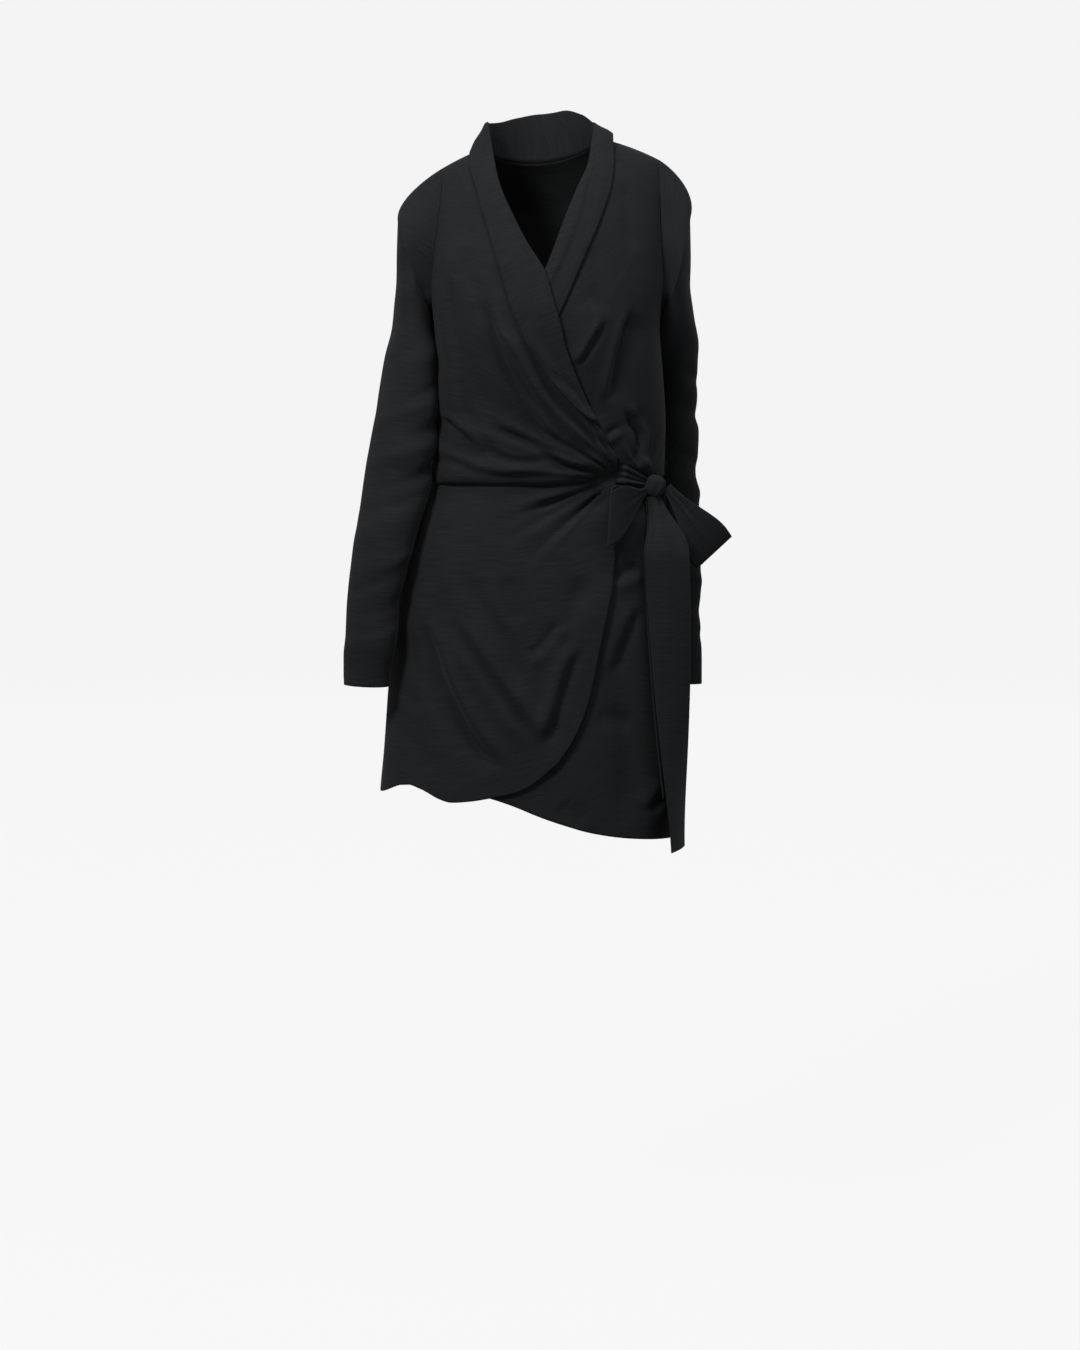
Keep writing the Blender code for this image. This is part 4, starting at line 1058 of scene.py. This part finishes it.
@dataclass
class Skirt:
    """Lower part: the overlap, the underlap and the back."""

    rows: int = 150
    columns: int = 130

    def side_edge(self, sign: int, last: float) -> tuple[Array, Array]:
        """Gives drops and places across of a side seam down to its last drop."""
        drop = np.linspace(414, last, self.rows + 1)
        return drop, SKIRT.at("centre", drop) + sign * SKIRT.at("half", drop)

    def panel(
        self,
        side: Side,
        folds: Folds,
        waist: tuple[float, float],
        hem: Table,
        left_edge: tuple[Array, Array],
        right_edge: tuple[Array, Array],
        lift: Lift,
    ) -> Array:
        """Shapes a panel between the waist seam, its hem and two edges.

        Args:
            side: the front or the back half.
            folds: folds of that half.
            waist: way round of the waist seam's two ends.
            hem: the hem's drop across.
            left_edge: drops and places across of the first edge.
            right_edge: the same for the last edge.
            lift: height over the form.

        Returns:
            Its grid, from the waist seam down.
        """
        angle = np.linspace(np.arcsin(waist[0]), np.arcsin(waist[1]), self.columns + 1)
        top = np.stack([angle, np.full(len(angle), 414.0)], -1)
        hem_across = np.linspace(left_edge[1][-1], right_edge[1][-1], len(angle))
        hem_drop = hem.at("drop", hem_across)
        bottom = np.stack([np.arcsin(lean_at(SKIRT, hem_across, hem_drop)), hem_drop], -1)
        left, right = (
            np.stack([np.arcsin(lean_at(SKIRT, across, drop)), drop], -1)
            for drop, across in (left_edge, right_edge)
        )
        left[0], right[0] = top[0], top[-1]
        bottom[0], bottom[-1] = left[-1], right[-1]
        u = np.linspace(0, 1, len(top))[None, :, None]
        v = np.linspace(0, 1, len(left))[:, None, None]
        edges = (1 - v) * top[None] + v * bottom[None] + (1 - u) * left[:, None] + u * right[:, None]
        corners = (1 - u) * ((1 - v) * top[0] + v * bottom[0]) + u * ((1 - v) * top[-1] + v * bottom[-1])
        grid = edges - corners
        lean, drop = np.sin(grid[..., 0]), grid[..., 1]
        flat = skirt_form(side, lean, drop)
        out = folds.depth(flat[..., 0], flat[..., 2]) * ramp(414, 436, drop)
        out = out * ramp(1, 0.97, np.abs(lean)) + lift(flat[..., 0], flat[..., 2])
        return moved_out(skirt_form, side, lean, drop, out)

    def build(self, wardrobe: Wardrobe) -> list[bpy.types.Object]:
        """Builds the three panels."""
        waist_end = float(lean_at(SKIRT, 93.0, 414.0))
        drop = np.linspace(414, 754, self.rows + 1)
        edge = drop, OVERLAP_EDGE.at("across", drop)
        over = self.panel(
            Side.FRONT, SKIRT_FOLDS, (-1.0, waist_end), OVERLAP_HEM, self.side_edge(-1, 806), edge, skirt_lift
        )
        hidden_drop = np.linspace(414, 792, self.rows + 1)
        hidden = hidden_drop, np.full(self.rows + 1, HIDDEN_EDGE)
        hidden_lean = float(lean_at(SKIRT, HIDDEN_EDGE, 414.0))
        under = self.panel(
            Side.FRONT, SKIRT_FOLDS, (hidden_lean, 1.0), UNDERLAP_HEM, hidden, self.side_edge(1, 863), no_lift
        )
        back = self.panel(
            Side.BACK, BACK_FOLDS, (-1.0, 1.0), BACK_HEM, self.side_edge(-1, 806), self.side_edge(1, 863), no_lift
        )
        over = inset(over, bottom=TURNED_SEAM, left=SEAM)
        under = inset(under, bottom=TURNED_SEAM, right=SEAM)
        back = inset(back, 0, TURNED_SEAM, SEAM, SEAM)
        sheets = (
            Sheet("skirt_overlap", over, Cloth.OUTER, Hold.HUNG, ("skirt_front_right",)),
            Sheet("skirt_underlap", under, Cloth.UNDER, Hold.HUNG, ("skirt_front_left",)),
            Sheet("skirt_behind", back, Cloth.UNDER, Hold.HUNG, ("skirt_back",)),
        )
        return [sheet.build(wardrobe) for sheet in sheets]


@dataclass(frozen=True)
class Ruck:
    """One crosswise fold of a sleeve: its height, way round, size and depth."""

    height: float
    turn: float
    tall: float
    wide: float
    depth: float


@dataclass
class Sleeve:
    """One long sleeve, open at the cuff, on its armhole seam."""

    name: str
    node: str
    table: Table
    sign: int
    length: float
    rucks: tuple[Ruck, ...]
    tucks: tuple[tuple[float, float, float], ...]  # height, reach and distance towards the body
    seam_rows: int = 56
    cap_rows: int = 26
    tube_rows: int = 150

    def rings(self) -> Array:
        """Shapes the sleeve as rings of points from the armhole seam down."""
        rise = np.linspace(SHOULDER, UNDERARM, self.seam_rows + 1)
        fore = bodice_form(Side.FRONT, self.sign * armhole_lean(rise), rise)
        aft = bodice_form(Side.BACK, self.sign * armhole_lean(rise), rise)
        seam = np.concatenate([fore, aft[-2:0:-1]])
        steps = np.linalg.norm(np.diff(seam, axis=0, append=seam[:1]), axis=1)
        far = np.concatenate([[0], np.cumsum(steps)])
        angle = 2 * math.pi * far[:-1] / far[-1]
        low = 2 * math.pi * far[len(rise) - 1] / far[-1]
        beyond = math.pi + (angle - low) / (2 * math.pi - low) * math.pi
        angle = np.where(angle < low, angle / low * math.pi, beyond)
        tube = self.tube(angle, np.linspace(0, self.length, self.tube_rows + 1))
        lead = (tube[0] - self.tube(angle, np.array((34.0,)))[0]) * 0.45
        away = np.stack([0 * angle + self.sign * 0.86, -0.15 * np.sin(angle), 0 * angle - 0.5], -1)
        away /= np.linalg.norm(away, axis=1, keepdims=True)
        reach = np.linalg.norm(tube[0] - seam, axis=1, keepdims=True)
        first = seam + away * 0.3
        cap = []
        for t in np.linspace(0, 1, self.cap_rows + 1)[:-1]:
            blend = t * t * (3 - 2 * t)
            cap.append((first + away * reach * t) * (1 - blend) + (tube[0] + lead * (1 - t)) * blend)
        rings = np.concatenate([np.array(cap), tube])
        outward = (rings - rings.mean(axis=1, keepdims=True)) * (1, 1, 0)
        outward /= np.linalg.norm(outward, axis=2, keepdims=True)
        out = self.rucked(rings, angle) * ramp(-60, -110, rings[..., 2])
        rings = rings + outward * out[..., None]
        inner = (0.5 - 0.5 * np.cos(angle)) ** 1.5
        for height, tall, distance in self.tucks:
            rings[..., 0] -= self.sign * distance * bump_at(height, tall, rings[..., 2]) * inner
        return rings

    def tube(self, angle: Array, along: Array) -> Array:
        """Gives the smooth tube at ways round and distances down the sleeve."""
        along = along[:, None]
        outer, inner = self.table.at("outer", along), self.table.at("inner", along)
        fore, aft = self.table.at("fore", along), self.table.at("aft", along)
        x = (outer + inner) / 2 + (outer - inner) / 2 * np.cos(angle)
        x = x + SLEEVE_TURN * np.sin(angle) * ramp(40, 130, along)
        y = (fore + aft) / 2 + (fore - aft) / 2 * np.sin(angle)
        z = self.table.at("height", along) + self.table.at("slant", along) * np.cos(angle)
        return np.stack([x, y, z], -1)

    def rucked(self, rings: Array, angle: Array) -> Array:
        """Adds up the depth of the sleeve's crosswise folds."""
        out = np.zeros(rings.shape[:2])
        for ruck in self.rucks:
            near = np.angle(np.exp(1j * (angle - ruck.turn)))
            slope = rings[..., 2] - ruck.height - 14 * np.sin(angle - ruck.turn)
            out += ruck.depth * bump_at(0, ruck.tall, slope) * bump_at(0, ruck.wide, near)
        return out

    def build(self, wardrobe: Wardrobe) -> bpy.types.Object:
        """Builds the sleeve."""
        rings = self.rings()
        if self.sign < 0:
            rings = rings[::-1]
        return Sheet(self.name, rings, Cloth.OUTER, Hold.HUNG, (self.node,), wrap=True).build(wardrobe)


RIGHT_RUCKS = (
    Ruck(-150, 1.1, 22, 0.9, -3.8),
    Ruck(-215, 0.4, 20, 1.0, -3.8),
    Ruck(-255, 2.0, 16, 1.0, 3.8),
    Ruck(-345, 2.4, 14, 0.9, -5.0),
    Ruck(-372, 1.6, 13, 1.2, 3.8),
    Ruck(-402, 2.2, 12, 1.0, -4.4),
    Ruck(-470, 1.0, 18, 1.2, 3.1),
    Ruck(-560, 2.4, 14, 1.2, -3.1),
    Ruck(-612, 0.8, 14, 1.4, 2.5),
    Ruck(-340, 4.6, 20, 1.2, -3.8),
    Ruck(-420, 4.2, 18, 1.2, 3.1),
    Ruck(-300, 1.9, 9, 0.7, -2.7),
    Ruck(-326, 1.2, 8, 0.8, 2.4),
    Ruck(-388, 2.8, 7, 0.7, -2.7),
    Ruck(-436, 1.6, 9, 0.9, -2.5),
    Ruck(-505, 2.1, 9, 0.8, 2.2),
    Ruck(-535, 1.2, 9, 0.9, -2.2),
    Ruck(-590, 1.8, 8, 0.9, -2.0),
    Ruck(-380, 4.0, 9, 0.9, -2.7),
    Ruck(-470, 4.8, 9, 0.9, 2.4),
)
LEFT_RUCKS = (
    Ruck(-160, 0.7, 22, 0.9, -3.1),
    Ruck(-235, 0.3, 20, 1.1, 3.1),
    Ruck(-330, 0.6, 16, 1.2, -3.8),
    Ruck(-365, 5.6, 16, 1.3, 3.8),
    Ruck(-405, 0.4, 14, 1.2, -3.8),
    Ruck(-500, 5.8, 20, 1.2, 3.1),
    Ruck(-585, 0.5, 16, 1.4, -3.1),
    Ruck(-350, 4.2, 18, 1.2, -3.8),
    Ruck(-280, 0.9, 9, 0.8, -2.5),
    Ruck(-345, 0.2, 8, 0.8, 2.4),
    Ruck(-385, 0.9, 8, 0.8, -2.5),
    Ruck(-430, 0.3, 9, 0.8, 2.2),
    Ruck(-460, 1.0, 9, 0.9, -2.2),
    Ruck(-540, 0.8, 9, 0.9, 2.0),
    Ruck(-620, 0.3, 9, 1.0, -1.9),
    Ruck(-400, 4.6, 9, 0.9, 2.5),
    Ruck(-470, 4.2, 9, 0.9, -2.2),
)


RIGHT_TUCKS = ((-240, 56, 9.0), (-330, 40, 3.0), (-408, 36, 5.0))
LEFT_TUCKS = ((-226, 46, 11.0),)


def ribbon(path: Array, across: Array, width: Array, count: int, dish: float = 0.0) -> Array:
    """Shapes a strip of cloth along a path.

    Args:
        path: points of its middle line.
        across: the direction over its width at each point.
        width: its width at each point.
        count: how many parts the width is divided into.
        dish: how far its middle stands off a straight line across.

    Returns:
        Its grid, one row for each point.
    """
    across = across / np.linalg.norm(across, axis=1, keepdims=True)
    normal = np.cross(np.gradient(path, axis=0), across)
    normal /= np.linalg.norm(normal, axis=1, keepdims=True)
    place = np.linspace(-1, 1, count + 1)
    half = np.asarray(width, float)[:, None, None] / 2
    sag = (1 - place**2)[None, :, None] * dish
    return path[:, None] + across[:, None] * place[None, :, None] * half + normal[:, None] * sag


@dataclass
class Sash:
    """Sash round the back, its strap to the knot, and the thread loops that carry it."""

    top: float = 413.5
    foot: float = 441.0
    off: float = 3.0
    steps: int = 240
    lines: int = 26
    loops: tuple[str, ...] = ("belt_loop_right", "belt_loop_left")

    def round_back(self) -> Array:
        """Shapes the sash from the right side seam round the back and on to the knot."""
        knots = np.arange(23.0)
        turns = np.concatenate([np.linspace(-0.5, 0.5, 19), np.linspace(0.5, 0.43, 4)[1:]]) * math.pi
        rows = []
        for index, turn in enumerate(turns):
            tuck = ramp(19, 21, index)
            side = Side.BACK if index < 19 else Side.FRONT
            drop = np.linspace(self.top + 3 * tuck, self.foot - 13 * tuck, 4)
            off = self.off + np.array((0.6, 1.6, 0.4, 0.6)) + 5.0 * tuck
            rows.append(moved_out(skirt_form, side, np.full(4, math.sin(turn)), drop, off))
        rows.append(KNOT_AT + [(5.0, 9.9, height) for height in (5.0, 1.5, -2.0, -5.5)])
        flat = np.array(rows).reshape(len(rows), -1)
        at = np.linspace(0, knots[-1], self.steps + 1)
        fine = np.stack([smooth(knots, flat[:, i], at) for i in range(flat.shape[1])], -1)
        fine = np.moveaxis(fine.reshape(-1, 4, 3), 1, 0).reshape(4, -1)
        lines = np.linspace(0, 3, self.lines + 1)
        grid = np.stack([smooth(np.arange(4.0), fine[:, i], lines) for i in range(fine.shape[1])], -1)
        grid = np.moveaxis(grid.reshape(len(lines), -1, 3), 0, 1)
        out = (grid * (1, 1, 0)) / np.linalg.norm(grid[..., :2], axis=-1)[..., None]
        pleats = 0.9 * np.sin(lines * 2.9 + 0.5) * np.sin(lines * math.pi / 3)
        sway = 1 + 0.35 * np.sin(at * 0.9)[:, None]
        return grid + out * (pleats[None] * sway * ramp(22, 20, at)[:, None])[..., None]

    def strap(self) -> Array:
        """Shapes the gathered strap from the end of the wrap to the knot."""
        start, end = np.array((95.6, -91.0, -397.0)), KNOT_AT + (-10.6, 2.0, 6.0)
        share = np.linspace(0, 1, 61)[:, None]
        path = start + (end - start) * share
        path[:, 1] -= 3.0 * np.sin(share[:, 0] * math.pi) + 5.0
        path -= np.array((10.0, -11.0, 1.0)) * ramp(0.35, 0, share)
        up = np.tile((0.12, 0.0, 1.0), (len(path), 1))
        grid = ribbon(path, up, 27 - 17 * share[:, 0], 40, -2.0)
        place = np.linspace(-1, 1, 41)
        grid[..., 1] -= 1.1 * np.cos(place * 9 + 0.5)[None] * ramp(0, 0.2, share)
        return grid

    def build(self, wardrobe: Wardrobe) -> list[bpy.types.Object]:
        """Builds both cloth pieces; the solids of the thread loops stay."""
        pieces = [
            Sheet("sash_behind", self.round_back(), Cloth.SASH, Hold.STRETCHED, ("sash_back",)).build(wardrobe),
            Sheet("sash_pull", self.strap(), Cloth.SASH, Hold.GATHERED, ("sash_strap",)).build(wardrobe),
        ]
        return pieces


@dataclass
class Bow:
    """Knot, two loops and two hanging ends."""

    steps: int = 70
    lines: int = 40
    knot_lean: float = 18.0
    knot_rows: int = 48
    knot_columns: int = 64

    def knot(self, wardrobe: Wardrobe) -> bpy.types.Object:
        """Builds the knot as a closed wrap with pleats pulled round it."""
        polar = np.linspace(0.02, math.pi - 0.02, self.knot_rows + 1)[:, None]
        turn = np.linspace(0, 2 * math.pi, self.knot_columns + 1)[:-1][None]
        size = KNOT_SIZE + (1.2, 0.4, 0.8)
        swell = 1 + 0.07 * np.cos(8 * turn + 0.9 * polar) * np.sin(polar)
        ring = np.abs(np.sin(polar)) ** 0.7
        x = size[0] * ring * np.sign(np.cos(turn)) * np.abs(np.cos(turn)) ** 0.8 * swell
        y = size[1] * ring * np.sign(np.sin(turn)) * np.abs(np.sin(turn)) ** 0.8 * swell
        z = size[2] * np.cos(polar) + 0 * turn
        lean = math.radians(self.knot_lean)
        x, z = x * math.cos(lean) + z * math.sin(lean), z * math.cos(lean) - x * math.sin(lean)
        grid = KNOT_AT + np.stack([x, y, z], -1)
        sheet = Sheet("knot", grid, Cloth.SASH, Hold.FOLDED, ("sash_knot",), wrap=True)
        return sheet.build(wardrobe)

    def loop(
        self,
        start: Array,
        end: Array,
        across: tuple[float, float, float],
        narrow: float,
        wide: float,
        full: float,
    ) -> Array:
        """Shapes a loop: out along the front leaf, round the end and back behind.

        Args:
            start: middle of the loop at the knot.
            end: middle of its far end.
            across: direction over the ribbon's width.
            narrow: width at the knot.
            wide: width at the end.
            full: how far the leaves stand apart.

        Returns:
            Its grid.
        """
        over = np.array(across) / np.linalg.norm(across)
        axis = end - start
        normal = np.cross(axis / np.linalg.norm(axis), over)
        out = np.linspace(0, 1, self.steps + 1)
        share = np.concatenate([out, out[::-1]])
        side = np.concatenate([np.ones(self.steps + 1), -np.ones(self.steps + 1)])
        gap = 1.6 + full * np.sin(math.pi * np.clip(share, 0, 0.97) ** 1.4)
        closing = np.sqrt(np.clip(1 - ((share - 0.94) / 0.06).clip(0, 1) ** 2, 0, 1))
        gap = gap * np.where(share > 0.94, closing, 1) + np.where(share > 0.94, 0.02, 0)
        centre = start + axis * share[:, None] + normal * (side * gap)[:, None]
        width = narrow + (wide - narrow) * ramp(0, 0.9, share)
        lines = np.linspace(-0.5, 0.5, self.lines + 1)
        grid = centre[:, None] + over * (width[:, None] * lines)[..., None]
        pleats = np.cos(lines * 15 + 0.6) * 0.9 + np.cos(lines * 27) * 0.4
        depth = pleats[None] * (ramp(1.0, 0.1, share) * ramp(0, 0.12, share))[:, None]
        return grid + normal * (depth * side[:, None])[..., None]

    def tail(self, length: float, back: float) -> Array:
        """Shapes a hanging end of the sash, pleated where it leaves the knot.

        Args:
            length: how far it hangs.
            back: how far it lies behind the front end.

        Returns:
            Its grid from the knot down.
        """
        down = np.linspace(0, length, 181)
        place = np.array((143.0, -63.0, -429.4))
        turn = np.radians(24 + 46 * ramp(110, 440, down))
        across = np.stack([np.cos(turn), np.sin(turn), 0 * turn], -1)
        facing = np.stack([np.sin(turn), -np.cos(turn), 0 * turn], -1)
        path = np.stack([
            place[0] + 12 * ramp(0, 53, down) + 18 * down / 440,
            place[1] - 30 * ramp(0, 80, down) + 4 * down / 440,
            place[2] - down,
        ], -1) - facing * back
        width = 22 + (RIBBON - 22) * ramp(0, 70, down)
        grid = ribbon(path, across, width, self.lines, 2.5)
        lines = np.linspace(-1, 1, self.lines + 1)
        pleats = np.cos(lines * 7 + 0.7) * 1.2 * (ramp(90, 20, down) * ramp(0, 14, down))[:, None]
        sway = 0.9 * np.sin(down / 46 + 0.6)[:, None] * lines[None] * ramp(40, 120, down)[:, None]
        return grid + facing[:, None] * (pleats + sway)[..., None]

    def build(self, wardrobe: Wardrobe) -> list[bpy.types.Object]:
        """Builds the bow."""
        front = self.loop(KNOT_AT + (-11.4, -5, -5), KNOT_AT + (-58, -60, -38), (0.06, 0, 1), 9, 68, 6.0)
        side = self.loop(KNOT_AT + (15, 1, -2), KNOT_AT + (76, 22, -84), (0.72, 0.1, 0.66), 14, 60, 7.0)
        sheets = (
            Sheet("bow_front", front, Cloth.SASH, Hold.FOLDED, ("bow_loop_front",)),
            Sheet("bow_side", side, Cloth.SASH, Hold.FOLDED, ("bow_loop_side",)),
            Sheet("tail_over", self.tail(440, 0.0), Cloth.SASH, Hold.HUNG, ("sash_tail",)),
            Sheet("tail_behind", self.tail(372, 5.0), Cloth.SASH, Hold.HUNG, ("sash_tail_under",)),
        )
        return [self.knot(wardrobe)] + [sheet.build(wardrobe) for sheet in sheets]


@dataclass
class Studio:
    """Pale round floor and wall, soft lights and the camera."""

    floor_height: float = -1.45
    distance: float = 3.2
    pitch: float = 6.0
    aim_height: float = -0.659
    scale: float = 0.00128  # metres for each of the frame's columns at the aim
    columns: int = 1080
    sensor: float = 36.0
    wall_radius: float = 8.0
    wall_curve: float = 1.4
    wall_height: float = 9.0
    wall_sides: int = 96
    pale: tuple[float, float, float] = (0.01, 0.01, 0.01)
    glow: float = 0.888
    surround: float = 0.42
    lights: tuple[tuple[str, tuple[float, float, float], float, float], ...] = field(
        default_factory=lambda: (
            ("key", (-1.5, -2.1, 1.7), 0.8, 128.0),
            ("fill", (2.6, -2.4, 0.4), 2.0, 16.0),
            ("top", (0.5, -0.9, 2.1), 1.2, 48.0),
        )
    )

    def backdrop(self) -> bpy.types.Object:
        """Builds the round floor, which curves up into a wall all the way round.

        It is seen but lends the dress no light, so every side of the dress is lit alike.

        Returns:
            The backdrop, which isn't part of the dress.
        """
        turn = np.linspace(0.0, math.pi / 2, 14)
        inner = self.wall_radius - self.wall_curve
        curve = [(inner + self.wall_curve * math.sin(a), self.wall_curve * (1 - math.cos(a))) for a in turn]
        curve.append((self.wall_radius, self.wall_height))
        n = self.wall_sides
        points = [
            (r * math.cos(math.tau * k / n), r * math.sin(math.tau * k / n), self.floor_height + z)
            for r, z in curve
            for k in range(n)
        ]
        faces: list[tuple[int, ...]] = [tuple(range(n))]
        for row in range(len(curve) - 1):
            for k in range(n):
                here, on = row * n + k, row * n + (k + 1) % n
                faces.append((here, here + n, on + n, on))
        mesh = bpy.data.meshes.new("backdrop")
        mesh.from_pydata(points, [], faces)
        mesh.shade_smooth()
        material = bpy.data.materials.new("pale_floor")
        material.use_nodes = True
        shader = material.node_tree.nodes["Principled BSDF"]
        shader.inputs["Base Color"].default_value = (*self.pale, 1.0)
        shader.inputs["Roughness"].default_value = 0.9
        shader.inputs["Emission Color"].default_value = (1.0, 1.0, 1.0, 1.0)
        shader.inputs["Emission Strength"].default_value = self.glow
        mesh.materials.append(material)
        backdrop = bpy.data.objects.new("backdrop", mesh)
        bpy.context.scene.collection.objects.link(backdrop)
        backdrop.visible_diffuse = False
        backdrop.visible_glossy = False
        backdrop.visible_shadow = False
        return backdrop

    def light(self) -> None:
        """Sets the soft lights and the pale surroundings."""
        world = bpy.data.worlds.new("studio")
        world.use_nodes = True
        world.node_tree.nodes["Background"].inputs["Color"].default_value = (0.9, 0.92, 0.94, 1.0)
        world.node_tree.nodes["Background"].inputs["Strength"].default_value = self.surround
        bpy.context.scene.world = world
        aim = np.array((0.0, 0.0, -0.45))
        for name, place, size, power in self.lights:
            lamp = bpy.data.lights.new(name, "AREA")
            lamp.shape = "DISK"
            lamp.size = size
            lamp.energy = power
            holder = bpy.data.objects.new(name, lamp)
            holder.location = place
            away = np.array(place) - aim
            pan = math.atan2(away[0], -away[1])
            tilt = math.acos(away[2] / np.linalg.norm(away))
            holder.rotation_euler = (tilt, 0.0, pan)
            bpy.context.scene.collection.objects.link(holder)

    def camera(self) -> None:
        """Sets the camera in front of the dress, a little above its middle."""
        lens = bpy.data.cameras.new("camera")
        lens.sensor_fit = "HORIZONTAL"
        lens.sensor_width = self.sensor
        lens.lens = self.sensor * self.distance / (self.columns * self.scale)
        holder = bpy.data.objects.new("camera", lens)
        pitch = math.radians(self.pitch)
        holder.location = (
            0.0,
            -self.distance * math.cos(pitch),
            self.aim_height + self.distance * math.sin(pitch),
        )
        holder.rotation_euler = (math.pi / 2 - pitch, 0.0, 0.0)
        bpy.context.scene.collection.objects.link(holder)
        bpy.context.scene.camera = holder
        bpy.context.scene.view_settings.view_transform = "Standard"


def main() -> None:
    """Builds the dress round its frame and reports each piece."""
    logging.basicConfig(level=logging.INFO, format="%(message)s", stream=sys.stdout)
    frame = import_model()
    wardrobe = Wardrobe.fitted()
    sleeves = (
        Sleeve("sleeve_on_right", "sleeve_right", RIGHT_SLEEVE, -1, 529.0, RIGHT_RUCKS, RIGHT_TUCKS),
        Sleeve("sleeve_on_left", "sleeve_left", LEFT_SLEEVE, 1, 538.0, LEFT_RUCKS, LEFT_TUCKS),
    )
    for assembly in (Bodice(), Skirt(), *sleeves, Sash(), Bow()):
        assembly.build(wardrobe)
        LOG.info("%s built", type(assembly).__name__)
    for name in Sash().loops:
        for slot in frame["nodes"][name].material_slots:
            slot.material = wardrobe.materials[Cloth.THREAD]
    studio = Studio()
    studio.backdrop()
    studio.light()
    studio.camera()


if __name__ == "__main__":
    main()
